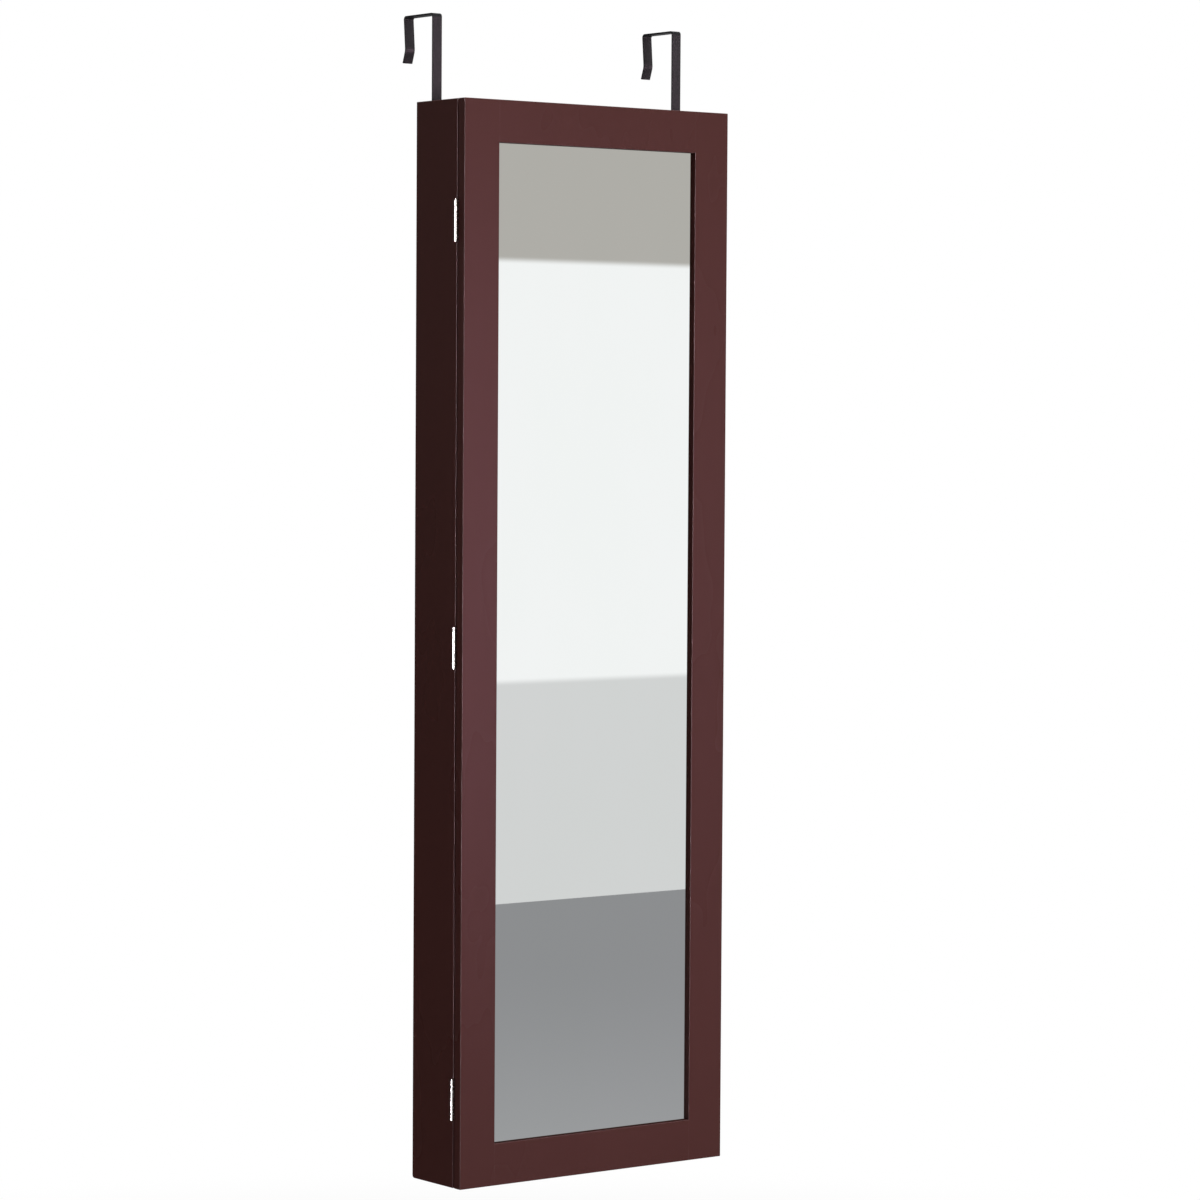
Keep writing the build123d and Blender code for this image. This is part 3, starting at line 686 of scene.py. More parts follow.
def settle(piece: bpy.types.Object, finish: Finish, body: str, slot: str | None,
           *nodes: str) -> bpy.types.Object:
    """Gives a new piece its finish and its place among the bodies.

    Args:
        piece: the piece, with its final mesh.
        finish: its finish.
        body: the body that it rides on.
        slot: its material slot in the record, if it has one; not used.
        *nodes: the nodes that it stands for.

    Returns:
        The piece.
    """
    if not piece.data.materials:
        piece.data.materials.append(finish.material())
    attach(piece, body)
    if nodes:
        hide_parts(*nodes)
    log.info("%s rides on %s and stands for %s", piece.name, body, ", ".join(nodes) or "no node")
    return piece


# Geometry Nodes


def end_tree(graph: Graph, copies: bpy.types.Node, into: bpy.types.Node,
             out: bpy.types.Node) -> bpy.types.NodeTree:
    """Makes a tree's copies real, gives them its Finish and puts them out.

    Args:
        graph: the tree's graph.
        copies: the node that makes the copies.
        into: the tree's input node.
        out: the tree's output node.

    Returns:
        The tree.
    """
    real = graph.add("GeometryNodeRealizeInstances", {"Geometry": copies.outputs[0]})
    inputs = {"Geometry": real.outputs[0], "Material": into.outputs["Finish"]}
    dressed = graph.add("GeometryNodeSetMaterial", inputs)
    graph.tree.links.new(dressed.outputs[0], out.inputs["Geometry"])
    return graph.tree


def repeat_tree() -> bpy.types.NodeTree:
    """The tree that sets a shape at every point, aimed along the point's aim.

    Returns:
        A tree with the inputs Points, Shape, Spin (the largest chance turn), Seed and Finish.
    """
    found = bpy.data.node_groups.get("repeat at points")
    if found:
        return found
    inputs = {"Points": "NodeSocketGeometry", "Shape": "NodeSocketObject", "Spin": "NodeSocketFloat",
              "Seed": "NodeSocketInt", "Finish": "NodeSocketMaterial"}
    graph, into, out = node_group(
        "GeometryNodeTree", "repeat at points", inputs, {"Geometry": "NodeSocketGeometry"}
    )
    shape = graph.add("GeometryNodeObjectInfo", {"Object": into.outputs["Shape"]})
    aim = graph.add("GeometryNodeInputNamedAttribute", {"Name": "aim"}, data_type="FLOAT_VECTOR")
    aimed = graph.add("FunctionNodeAlignRotationToVector", {"Vector": aim.outputs[0]}, axis="Z")
    chance = graph.add("FunctionNodeRandomValue", {2: 0.0, 3: 1.0, "Seed": into.outputs["Seed"]})
    turn = graph.maths("MULTIPLY", chance.outputs[1], into.outputs["Spin"])
    spin = graph.add("FunctionNodeAxisAngleToRotation", {"Axis": (0.0, 0.0, 1.0), "Angle": turn})
    placed = graph.add(
        "FunctionNodeRotateRotation",
        {"Rotation": aimed.outputs[0], "Rotate By": spin.outputs[0]},
        rotation_space="LOCAL",
    )
    copies = graph.add(
        "GeometryNodeInstanceOnPoints",
        {"Points": into.outputs["Points"], "Instance": shape.outputs["Geometry"],
         "Rotation": placed.outputs[0]},
    )
    return end_tree(graph, copies, into, out)


def stitch_tree() -> bpy.types.NodeTree:
    """The tree that sews a row of stitches along a curve.

    Returns:
        A tree with the inputs Path, Pitch, Length, Thickness and Finish.
    """
    found = bpy.data.node_groups.get("stitches along a path")
    if found:
        return found
    floats = "NodeSocketFloat"
    inputs = {"Path": "NodeSocketGeometry", "Pitch": floats, "Length": floats, "Thickness": floats,
              "Finish": "NodeSocketMaterial"}
    graph, into, out = node_group(
        "GeometryNodeTree", "stitches along a path", inputs, {"Geometry": "NodeSocketGeometry"}
    )
    spaced = graph.add(
        "GeometryNodeResampleCurve",
        {"Curve": into.outputs["Path"], "Length": into.outputs["Pitch"]},
        mode="LENGTH",
    )
    tangent = graph.add("GeometryNodeInputTangent")
    aimed = graph.add("FunctionNodeAlignRotationToVector", {"Vector": tangent.outputs[0]}, axis="Z")
    ball_inputs = {"Segments": 8, "Rings": 6, "Radius": 0.5}
    ball = graph.add("GeometryNodeMeshUVSphere", ball_inputs)
    soft = graph.add("GeometryNodeSetShadeSmooth", {0: ball.outputs[0]})
    size = graph.add(
        "ShaderNodeCombineXYZ",
        {0: into.outputs["Thickness"], 1: into.outputs["Thickness"], 2: into.outputs["Length"]},
    )
    copies = graph.add(
        "GeometryNodeInstanceOnPoints",
        {"Points": spaced.outputs[0], "Instance": soft.outputs[0], "Rotation": aimed.outputs[0],
         "Scale": size.outputs[0]},
    )
    return end_tree(graph, copies, into, out)


def grown(name: str, base: bpy.types.Object, tree: bpy.types.NodeTree,
          values: dict[str, Any]) -> bpy.types.Object:
    """Runs a Geometry Nodes tree on a base and keeps the result as a plain mesh.

    Args:
        name: the new piece's name.
        base: the object that the tree starts from, which is removed.
        tree: the tree.
        values: the tree's inputs by name.

    Returns:
        The new piece.
    """
    modifier = base.modifiers.new("grow", "NODES")
    modifier.node_group = tree
    for item in tree.interface.items_tree:
        if item.item_type == "SOCKET" and item.in_out == "INPUT" and item.name in values:
            modifier[item.identifier] = values[item.name]
    base.update_tag()
    mesh = plain_mesh(base)
    base.modifiers.remove(modifier)
    bpy.data.objects.remove(base)
    mesh.name = name
    return new_object(name, mesh)


def repeated(name: str, shape: bpy.types.Mesh, places: list[Vector], aims: list[Vector],
             finish: Finish, spin: float = 0.0, seed: int = 1) -> bpy.types.Object:
    """A shape repeated at places, through Geometry Nodes.

    Args:
        name: the new piece's name.
        shape: the shape, which points along its own Z.
        places: where each copy's origin goes.
        aims: where each copy's Z points.
        finish: the finish of all the copies.
        spin: the largest chance turn about Z, in radians.
        seed: the seed of the turns.

    Returns:
        The new piece.
    """
    points = bpy.data.meshes.new(name + "_points")
    points.from_pydata([tuple(place) for place in places], [], [])
    aim = points.attributes.new("aim", "FLOAT_VECTOR", "POINT")
    aim.data.foreach_set("vector", np.array([tuple(a) for a in aims], np.float32).ravel())
    template = new_object(name + "_shape", shape)
    values = {"Shape": template, "Spin": spin, "Seed": seed, "Finish": finish.material()}
    made = grown(name, new_object(name + "_base", points), repeat_tree(), values)
    bpy.data.objects.remove(template)
    return made


# Screws


class Head(Enum):
    """The kinds of screw head."""

    SUNK = "countersunk"
    PAN = "pan"


@dataclass
class ScrewSet:
    """The screws of one node, with a rounded or sunk head and a cross recess.

    Attributes:
        node: the node that the set stands for.
        body: the body that it rides on.
        drive: where the screws point.
        head: the kind of head.
        finish: their finish.
        head_to_shank: the head's radius over the shank's.
        pan_share: a pan head's height over its radius.
        dome_share: how much of a head's height is its dome.
        dome_angles: the angles of the dome's rings, in degrees.
        crown: the dome's nearly flat middle, over the head's radius.
        side_start: where a pan head's upright side starts, over its dome's height.
        sunk_face: a sunk head's flat face, over its radius.
        sunk_rim: where the soft rim round that face starts, over the head's radius.
        rim_drop: how far the rim drops, over the head's height.
        point: the point's length over the shank's radius.
        tip: the radius of the point's end over the shank's.
        recess_depth: the cross recess's depth, over the head's radius.
        recess_length: the length of its arms, over the head's radius.
        recess_width: the width of its arms, over the head's radius.
        recess_taper: its size at its bottom, over its size at its mouth.
        segments: how many sides a head has.
        seed: the seed of the chance turns.
    """

    node: str
    body: str
    drive: Vector
    head: Head
    finish: Finish
    head_to_shank: float = 1.9
    pan_share: float = 0.45
    dome_share: float = 0.55
    dome_angles: tuple[int, ...] = (90, 70, 50, 30, 12)
    crown: float = 0.35
    side_start: float = 1.1
    sunk_face: float = 0.6
    sunk_rim: float = 0.97
    rim_drop: float = 0.06
    point: float = 1.5
    tip: float = 0.15
    recess_depth: float = 0.42
    recess_length: float = 1.15
    recess_width: float = 0.26
    recess_taper: float = 0.45
    segments: int = 24
    seed: int = 3

    def profile(self, radius: float, length: float) -> list[tuple[float, float]]:
        """The screw's outline, from the top of its head at 0 down to its point.

        Args:
            radius: the head's radius.
            length: the whole screw's length.

        Returns:
            Pairs of radius and height, with the screw pointing up along Z.
        """
        shank = radius / self.head_to_shank
        if self.head is Head.PAN:
            tall = radius * self.pan_share
            dome = tall * self.dome_share
            outline = []
            for angle in map(math.radians, self.dome_angles):
                share = self.crown + (1 - self.crown) * math.cos(angle)
                outline.append((radius * share, dome * (1 - math.sin(angle))))
            outline += [(radius, dome * self.side_start), (radius, tall)]
        else:
            tall = radius - shank
            outline = [(radius * self.sunk_face, 0.0), (radius * self.sunk_rim, 0.0),
                       (radius, tall * self.rim_drop)]
        taper = length - self.point * shank
        outline += [(shank, tall), (shank, taper), (shank * self.tip, length)]
        return outline

    def shape(self, radius: float, length: float) -> bpy.types.Mesh:
        """One screw with its recess cut.

        Args:
            radius: the head's radius.
            length: the whole screw's length.

        Returns:
            The mesh, with the head's top at the origin and the screw pointing up along Z.
        """
        outline = self.profile(radius, length)
        body = new_object("screw_body", turned_mesh("screw_body", outline, self.segments))
        cross = bmesh.new()
        depth = radius * self.recess_depth
        wide, narrow = radius * self.recess_length, radius * self.recess_width
        for sizes in ((wide, narrow), (narrow, wide)):
            made = bmesh.ops.create_cube(cross, size=1.0)["verts"]
            for vertex in made:
                share = 1.0 if vertex.co.z < 0 else self.recess_taper
                vertex.co.x *= sizes[0] * share
                vertex.co.y *= sizes[1] * share
                vertex.co.z *= 2 * depth
        cutter = new_object("recess", mesh_of("recess", cross))
        with_modifier(body, "BOOLEAN", object=cutter, operation="DIFFERENCE", solver="EXACT",
                      use_self=True)
        mesh = body.data
        bpy.data.objects.remove(cutter)
        bpy.data.objects.remove(body)
        return mesh

    def build(self) -> bpy.types.Object:
        """Makes the set and puts it in the node's place.

        Returns:
            The new piece.
        """
        boxes = solid_boxes(self.node)
        along = max(range(3), key=lambda axis: abs(self.drive[axis]))
        across = [axis for axis in range(3) if axis != along]
        radius = boxes[0].size[across[0]] / 2
        length = boxes[0].size[along]
        places = []
        for box in boxes:
            place = box.centre.copy()
            place[along] = box.low[along] if self.drive[along] > 0 else box.high[along]
            places.append(place)
        name = self.node.replace("screw", "turned_screw")
        mesh = self.shape(radius, length)
        aims = [self.drive] * len(places)
        piece = repeated(name, mesh, places, aims, self.finish, math.pi, self.seed)
        return settle(piece, self.finish, self.body, self.finish.slot, self.node)


# Sub-assemblies


@dataclass
class CaseBody:
    """The painted case with its boards, rails, rods and catch.

    Attributes:
        painted: the boards in the cabinet's paint.
        rods: the bright rods.
        moulded: the black plastic parts.
        dome_angles: the angles of the rings of a bumper's dome, in degrees.
        dome_foot: the radius of a bumper's foot over its own.
        dome_side: the height of its straight side over its own.
        dome_segments: how many sides it has.
    """

    painted: tuple[str, ...] = (
        "left_side_panel", "right_side_panel", "bottom_panel", "top_panel", "rear_top_rail",
        "rear_bottom_rail", "bottle_shelf", "bracelet_shelf", "lipstick_shelf", "ring_shelf",
        "necklace_shelf", "necklace_rail",
    )
    rods: tuple[str, ...] = ("shelf_rods", "bracelet_rod")
    moulded: tuple[str, ...] = ("bracelet_rod_sockets", "catch_housing", "lipstick_holder")
    dome_angles: tuple[int, ...] = (0, 20, 40, 60, 75, 86)
    dome_foot: float = 0.96
    dome_side: float = 0.2
    dome_segments: int = 32

    def build(self) -> None:
        """Dresses the boards and makes the bumpers."""
        dress(MAHOGANY_PAINT, *self.painted)
        dress(BACK_BOARD, "back_panel")
        dress(BARE_BEECH, "case_dowels")
        dress(BRIGHT_ROD, *self.rods)
        dress(BLACK_PLASTIC, *self.moulded)
        dress(FERRITE, "catch_magnet")
        self.bumpers()

    def bumpers(self) -> None:
        """The two clear domes that the door shuts against."""
        boxes = solid_boxes("bumper_pads")
        radius, tall = boxes[0].size.x / 2, boxes[0].size.y
        profile = [(radius * self.dome_foot, 0.0)]
        for angle in map(math.radians, self.dome_angles):
            share = self.dome_side + (1 - self.dome_side) * math.sin(angle)
            profile.append((radius * math.cos(angle), tall * share))
        mesh = turned_mesh("bumper", profile, self.dome_segments)
        places = [Vector((box.centre.x, box.high.y, box.centre.z)) for box in boxes]
        aims = [Vector((0, -1, 0))] * len(places)
        piece = repeated("bumper_domes", mesh, places, aims, CLEAR_RUBBER)
        settle(piece, CLEAR_RUBBER, CASE, CLEAR_RUBBER.slot, "bumper_pads")


@dataclass
class MirrorDoor:
    """The framed mirror door with its backer, earring boards and strike plate.

    Attributes:
        frame_pieces: the stiles and rails in the cabinet's paint.
        earring_parts: the black plastic parts of the earring boards.
    """

    frame_pieces: tuple[str, ...] = (
        "door_left_stile", "door_right_stile", "door_top_rail", "door_bottom_rail",
    )
    earring_parts: tuple[str, ...] = (
        "upper_earring_board", "lower_earring_board", "earring_board_posts",
    )

    def build(self) -> None:
        """Dresses the frame, the glass and what is behind it."""
        dress(MAHOGANY_PAINT, *self.frame_pieces)
        dress(SILVERED_GLASS, "mirror_glass")
        dress(BACK_BOARD, "mirror_backer")
        dress(BARE_BEECH, "door_dowels")
        dress(BLACK_PLASTIC, *self.earring_parts)
        dress(SCREW_STEEL, "strike_plate")


@dataclass
class Hardware:
    """The strap hooks, the hinges and every screw."""

    def build(self) -> None:
        """Dresses the hooks and hinges and makes the screws."""
        dress(HOOK_ENAMEL, "left_door_hook", "right_door_hook")
        dress(HINGE_NICKEL, "hinge_case_leaves", "hinge_door_leaves", "hinge_pins")
        back, front = Vector((0, 1, 0)), Vector((0, -1, 0))
        sunk, pan = Head.SUNK, Head.PAN
        sets = (
            ScrewSet("hinge_case_screws", CASE, back, sunk, HINGE_NICKEL, seed=3),
            ScrewSet("hinge_door_screws", DOOR, front, sunk, HINGE_NICKEL, seed=5),
            ScrewSet("hook_screws", CASE, front, sunk, SCREW_STEEL, seed=7),
            ScrewSet("necklace_rail_screws", CASE, back, sunk, SCREW_STEEL, seed=11),
            ScrewSet("catch_screws", CASE, Vector((1, 0, 0)), pan, SCREW_STEEL, seed=13),
            ScrewSet("backer_screws", DOOR, front, pan, SCREW_STEEL, seed=17),
            ScrewSet("earring_board_screws", DOOR, front, sunk, SCREW_STEEL, seed=19),
            ScrewSet("strike_screw", DOOR, front, sunk, SCREW_STEEL, seed=23),
        )
        for screws in sets:
            screws.build()
        dress(SCREW_STEEL, "socket_screws")


@dataclass(frozen=True)
class Gathers:
    """The gathers along one edge of the pocket.

    Attributes:
        count: how many there are.
        depth: how deep they are.
        unevenness: how far the slow waves move them sideways.
        reach: how far they run over the cloth, as a share of its height.
        fade: how fast they fade out.
        start: where the row starts, in radians.
    """

    count: int
    depth: float
    unevenness: float
    reach: float
    fade: float
    start: float = 0.0

    def strength(self, away: np.ndarray) -> np.ndarray:
        """How strong they are at shares of the height away from their edge."""
        return np.clip(1 - away / self.reach, 0, 1) ** self.fade

    def ripple(self, across: np.ndarray, waves: np.ndarray, away: np.ndarray) -> np.ndarray:
        """How far they push the cloth out, for shares across the width and away from their edge."""
        phase = math.pi * self.count * across + self.unevenness * waves + self.start
        return self.depth * self.strength(away) * np.sin(phase)


@dataclass
class NecklaceBay:
    """The row of necklace hooks and the gathered velvet pocket below it.

    Attributes:
        wire_radius: the radius of a hook's wire.
        wire_sides: how many sides the wire has.
        tip_radius: the radius of the ball on its end.
        ball_angles: where the ball leaves the wire and where it closes, in degrees.
        ball_end: the radius of the ball's last ring over its own.
        collar_radius: the radius of a hook's collar.
        collar_face: the radius of the collar's face over its own.
        collar_edge: the height of its straight edge over its thickness.
        collar_thickness: its thickness.
        collar_sides: how many sides it has.
        root_depth: how far a hook goes into its rail.
        bend_radius: the radius of its bend.
        steps: how many rings the bend and the ball have.
        cloth: the thickness of the pocket's velvet.
        columns: how many points the pocket's mesh has across.
        rows: how many it has up.
        heights: shares of the pocket's height.
        depths: the pocket's depth at those heights, over its whole depth.
        end_power: how squarely the pocket turns in at its ends.
        waves: the height, pace and start of the slow waves that make the gathers uneven.
        top: the gathers at the mouth.
        low: the gathers at the bottom.
        closed: the share of the height up to which the bottom is sewn flat.
        sway: how far the cloth moves in and out, and its mouth up and down.
        swell_pace: how fast it moves in and out, across and up.
        lift_pace: how fast its mouth moves up and down.
        hem_radius: the radius of the rolled hem with the elastic in it.
        hem_sides: how many sides the hem has.
        hem_ripple: how much its radius changes with the gathers.
        hem_drop: how far its middle lies under the mouth, over its radius.
        gather_ratio: the cut's width over the gathered width.
        stitch_pitch: the distance from one stitch to the next.
        stitch_share: a stitch's length over that distance.
        stitch_span: the stitched share of the width.
        stitch_points: how many points the stitched line has.
        stitch_drop: how far it lies under the mouth, over the hem's radius.
        stitch_out: how far it lies in front of the cloth's middle, over the cloth's thickness.
        thread: the thread's thickness.
    """

    wire_radius: float = 0.9 * MM
    wire_sides: int = 12
    tip_radius: float = 1.35 * MM
    ball_angles: tuple[int, int] = (25, 168)
    ball_end: float = 0.12
    collar_radius: float = 2.6 * MM
    collar_face: float = 0.8
    collar_edge: float = 0.6
    collar_thickness: float = 0.8 * MM
    collar_sides: int = 20
    root_depth: float = 8.0 * MM
    bend_radius: float = 2.7 * MM
    steps: int = 9
    cloth: float = 0.9 * MM
    columns: int = 421
    rows: int = 41
    heights: tuple[float, ...] = (0.0, 0.05, 0.14, 0.3, 0.55, 0.8, 1.0)
    depths: tuple[float, ...] = (0.06, 0.42, 0.78, 0.95, 0.93, 0.85, 0.76)
    end_power: int = 14
    waves: tuple[Triple, ...] = ((0.5, 9.1, 1.3), (0.35, 17.3, 0.4))
    top: Gathers = Gathers(34, 1.5 * MM, 2.2, reach=0.55, fade=1.6)
    low: Gathers = Gathers(27, 1.1 * MM, 2.6, reach=0.5, fade=1.3, start=0.8)
    closed: float = 0.06
    sway: float = 0.5 * MM
    swell_pace: tuple[float, float] = (6.3, 4.0)
    lift_pace: float = 2.1
    hem_radius: float = 1.9 * MM
    hem_sides: int = 12
    hem_ripple: float = 0.12
    hem_drop: float = 0.6
    gather_ratio: float = 1.2
    stitch_pitch: float = 4.2 * MM
    stitch_share: float = 0.7
    stitch_span: float = 0.985
    stitch_points: int = 241
    stitch_drop: float = 2.6
    stitch_out: float = 0.6
    thread: float = 0.5 * MM

    def build(self) -> None:
        """Makes the hooks and the pocket."""
        self.hooks()
        self.pocket()

    def hooks(self) -> None:
        """The row of hooks, each one bent wire with a collar and a ball end."""
        boxes = solid_boxes("necklace_hooks")
        rail = node_box("necklace_rail")
        reach = rail.low.y - boxes[0].low.y - self.wire_radius
        lift = boxes[0].high.z - rail.centre.z - self.tip_radius
        hook = bmesh.new()
        hook.from_mesh(self.wire(reach, lift))
        hook.from_mesh(self.collar())
        mesh = mesh_of("necklace_hook", hook)
        places = [Vector((box.centre.x, rail.low.y, rail.centre.z)) for box in boxes]
        aims = [Vector((0, 0, 1))] * len(places)
        piece = repeated("bent_necklace_hooks", mesh, places, aims, BRIGHT_ROD)
        settle(piece, BRIGHT_ROD, CASE, BRIGHT_ROD.slot, "necklace_hooks")

    def wire(self, reach: float, lift: float) -> bpy.types.Mesh:
        """One hook's wire, bent up, with a ball on its end.

        Args:
            reach: how far it stands out of its rail.
            lift: how high the ball's middle lies over the wire's root.

        Returns:
            The mesh, with the rail's face at the origin.
        """
        bend = self.bend_radius
        line = [(0.0, self.root_depth, 0.0), (0.0, 0.0, 0.0), (0.0, bend - reach, 0.0)]
        for angle in np.linspace(0.0, math.pi / 2, self.steps)[1:]:
            line.append((0.0, bend * (1 - math.sin(angle)) - reach, bend * (1 - math.cos(angle))))
        line.append((0.0, -reach, lift - self.tip_radius))
        radius = [self.wire_radius] * len(line)
        for angle in np.linspace(*np.radians(self.ball_angles), self.steps):
            line.append((0.0, -reach, lift - self.tip_radius * math.cos(angle)))
            radius.append(self.tip_radius * max(math.sin(angle), self.ball_end))
        return tube_mesh("wire", np.array(line), np.array(radius), self.wire_sides)

    def collar(self) -> bpy.types.Mesh:
        """The collar round a hook's root.

        Returns:
            The mesh, with its back at the origin and its face towards the front.
        """
        profile = [
            (self.collar_radius * self.collar_face, -self.collar_thickness),
            (self.collar_radius, -self.collar_thickness * self.collar_edge),
            (self.collar_radius, 0.0),
        ]
        made = turned_mesh("collar", profile, self.collar_sides)
        made.transform(Matrix.Rotation(math.radians(-90), 4, "X"))
        return made

    def surface(self, across: np.ndarray, up: np.ndarray) -> np.ndarray:
        """Points of the pocket's front.

        Args:
            across: shares from -1 at the left edge to 1 at the right edge.
            up: shares from 0 at the bottom to 1 at the mouth.

        Returns:
            The points, shaped like across with a last axis of 3.
        """
        box = node_box("necklace_pocket")
        profile = np.interp(up, self.heights, self.depths) * box.size.y
        ends = np.sqrt(np.clip(1 - np.abs(across) ** self.end_power, 0, 1))
        waves = sum(tall * np.sin(across * pace + start) for tall, pace, start in self.waves)
        ruffle = self.top.ripple(across, waves, 1 - up)
        ruffle += self.low.ripple(across, waves, up) * np.clip(up / self.closed, 0, 1)
        swell = self.sway * np.sin(across * self.swell_pace[0] + up * self.swell_pace[1])
        depth = np.clip((profile + ruffle + swell * ends) * ends, self.cloth, None)
        lift = self.sway * self.top.strength(1 - up) * np.sin(self.lift_pace * waves * up)
        height = box.low.z + up * box.size.z + lift
        return np.stack([across * box.size.x / 2, box.high.y - depth, height], -1)

    def pocket(self) -> None:
        """The gathered front of the pocket, its hem and the stitches under the hem."""
        across, up = np.meshgrid(np.linspace(-1, 1, self.columns), np.linspace(0, 1, self.rows))
        points = self.surface(across, up)
        pocket = new_object("gathered_pocket", grid_mesh("gathered_pocket", points, False, False))
        with_modifier(pocket, "SOLIDIFY", thickness=self.cloth, offset=0.0, use_rim=True)
        pocket.data.name = "gathered_pocket"
        hem = self.hem()
        stitches = self.stitches()
        settle(pocket, VELVET, CASE, VELVET.slot, "necklace_pocket")

    def hem(self) -> bpy.types.Object:
        """The rolled hem along the pocket's mouth.

        Returns:
            The new piece.
        """
        across = np.linspace(-1, 1, self.columns)
        line = self.surface(across, np.ones(self.columns))
        line[:, 2] -= self.hem_drop * self.hem_radius
        ripple = 1 + self.hem_ripple * np.sin(across * math.pi * self.top.count)
        mesh = tube_mesh("hem", line, self.hem_radius * ripple, self.hem_sides)
        return settle(new_object("pocket_hem", mesh), VELVET, CASE, VELVET.slot)

    def stitches(self) -> bpy.types.Object:
        """The row of stitches that closes the hem.

        Returns:
            The new piece.
        """
        across = np.linspace(-self.stitch_span, self.stitch_span, self.stitch_points)
        up = 1 - self.stitch_drop * self.hem_radius / node_box("necklace_pocket").size.z
        line = self.surface(across, np.full(across.shape, up))
        line[:, 1] -= self.cloth * self.stitch_out
        path = bpy.data.curves.new("stitch_line", "CURVE")
        path.dimensions = "3D"
        spline = path.splines.new("POLY")
        spline.points.add(len(line) - 1)
        spline.points.foreach_set("co", np.column_stack([line, np.ones(len(line))]).ravel())
        base = bpy.data.objects.new("stitch_line", path)
        bpy.context.scene.collection.objects.link(base)
        values = {"Pitch": self.stitch_pitch, "Length": self.stitch_share * self.stitch_pitch,
                  "Thickness": self.thread, "Finish": BLACK_THREAD.material()}
        piece = grown("pocket_stitches", base, stitch_tree(), values)
        return settle(piece, BLACK_THREAD, CASE, VELVET.slot)


def runs_along_outline(edge: bmesh.types.BMEdge, box: Block) -> bool:
    """Whether an edge runs along the outline of a flat upright board.

    Args:
        edge: the edge.
        box: the board's box.

    Returns:
        True if the edge lies on one side of the box and is over half as long as that side.
    """
    for axis, other in ((0, 2), (2, 0)):
        for side in (box.low[axis], box.high[axis]):
            on_side = all(abs(vertex.co[axis] - side) < MERGE_DISTANCE for vertex in edge.verts)
            span = abs(edge.verts[0].co[other] - edge.verts[1].co[other])
            if on_side and span > box.size[other] / 2:
                return True
    return False


def stretched_velvet(node: str, name: str, body: str, turn: float) -> None:
    """Velvet with a node's outline and holes, and its edges turned over.

    Args:
        node: the node that it stands for.
        name: the new piece's name.
        body: the body that it rides on.
        turn: the radius of the turned edge.
    """
    box = node_box(node)
    copy = merged_copy(node)
    bmesh.ops.dissolve_limit(copy, angle_limit=math.radians(1), verts=copy.verts, edges=copy.edges)
    outline = [edge for edge in copy.edges if runs_along_outline(edge, box)]
    bmesh.ops.bevel(copy, geom=outline, offset=turn, segments=TURN_STEPS, profile=0.5, affect="EDGES")
    for face in copy.faces:
        face.smooth = abs(face.normal.y) < FLAT_FACE
    piece = settle(new_object(name, mesh_of(name, copy)), VELVET, body, VELVET.slot, node)


@dataclass
class RingBay:
    """The velvet ring cushion: a board with a stack of padded rolls.

    Attributes:
        along: how many steps a roll has along its length.
        around: how many sides a roll has.
        end_length: how far the rounding of an end reaches.
        end_opening: how little of an end's section its last ring keeps.
        pucker: how deep the gathers are at an end.
        puckers: how many gathers an end has.
        pucker_fade: how fast they fade out.
        slack: how far the padding moves the surface in and out.
        waves: the height of each wave of the padding, its length along a roll in mm and its shift
            from roll to roll.
        board_turn: the radius of the velvet's turn over the board's edges.
    """

    along: int = 150
    around: int = 28
    end_length: float = 8.0 * MM
    end_opening: float = 0.0015
    pucker: float = 0.35 * MM
    puckers: int = 9
    pucker_fade: float = 1.2
    slack: float = 0.28 * MM
    waves: tuple[Triple, ...] = ((1.0, 11.0, 0.9), (0.6, 4.7, -1.7), (0.4, 2.3, 1.0))
    board_turn: float = 1.2 * MM

    def build(self) -> None:
        """Covers the board and makes the rolls."""
        stretched_velvet("ring_board", "covered_ring_board", CASE, self.board_turn)
        boxes = solid_boxes("ring_rolls")
        piece = repeated(
            "padded_ring_rolls", self.roll(boxes[0]), [box.centre for box in boxes],
            [Vector((0, 0, 1))] * len(boxes), VELVET,
        )
        self.loosen(piece.data)
        settle(piece, VELVET, CASE, VELVET.slot, "ring_rolls")

    def roll(self, box: Block) -> bpy.types.Mesh:
        """One padded roll, flat behind and gathered at its ends.

        Args:
            box: the roll's box.

        Returns:
            The mesh, with the box's middle at the origin.
        """
        radius = box.size.z / 2 - self.slack
        middle = box.low.y + box.size.z / 2 - box.centre.y
        half = box.size.x / 2
        shares = np.sin(np.linspace(-math.pi / 2, math.pi / 2, self.along))
        stations = shares * half
        from_end = np.clip((half - np.abs(stations)) / self.end_length, 0, 1)
        rounding = np.sqrt(np.clip(1 - (1 - from_end) ** 2, self.end_opening, 1))
        angles = np.arange(self.around) * 2 * math.pi / self.around
        fading = (1 - from_end) ** self.pucker_fade
        gathers = self.pucker * np.cos(self.puckers * angles)[None, :] * fading[:, None]
        reach = (radius + gathers) * rounding[:, None]
        y = middle + reach * np.cos(angles)[None, :]
        z = reach * np.sin(angles)[None, :]
        back = box.high.y - box.centre.y
        y = np.minimum(y, back)
        x = np.repeat(stations[:, None], self.around, 1)
        return grid_mesh("ring_roll", np.stack([x, y, z], -1), True, True)

    def loosen(self, mesh: bpy.types.Mesh) -> None:
        """Makes the padding uneven, a little differently on each roll.

        Args:
            mesh: the mesh of all the rolls, which is changed.
        """
        points = np.empty(len(mesh.vertices) * 3)
        mesh.vertices.foreach_get("co", points)
        points = points.reshape(-1, 3)
        x, z = points[:, 0] / MM, points[:, 2] / MM
        wave = sum(tall * np.sin(x / length + z * shift) for tall, length, shift in self.waves)
        points[:, 1] -= np.abs(self.slack * wave / 2) * (points[:, 1] < points[:, 1].mean())
        mesh.vertices.foreach_set("co", points.ravel())
        mesh.update()


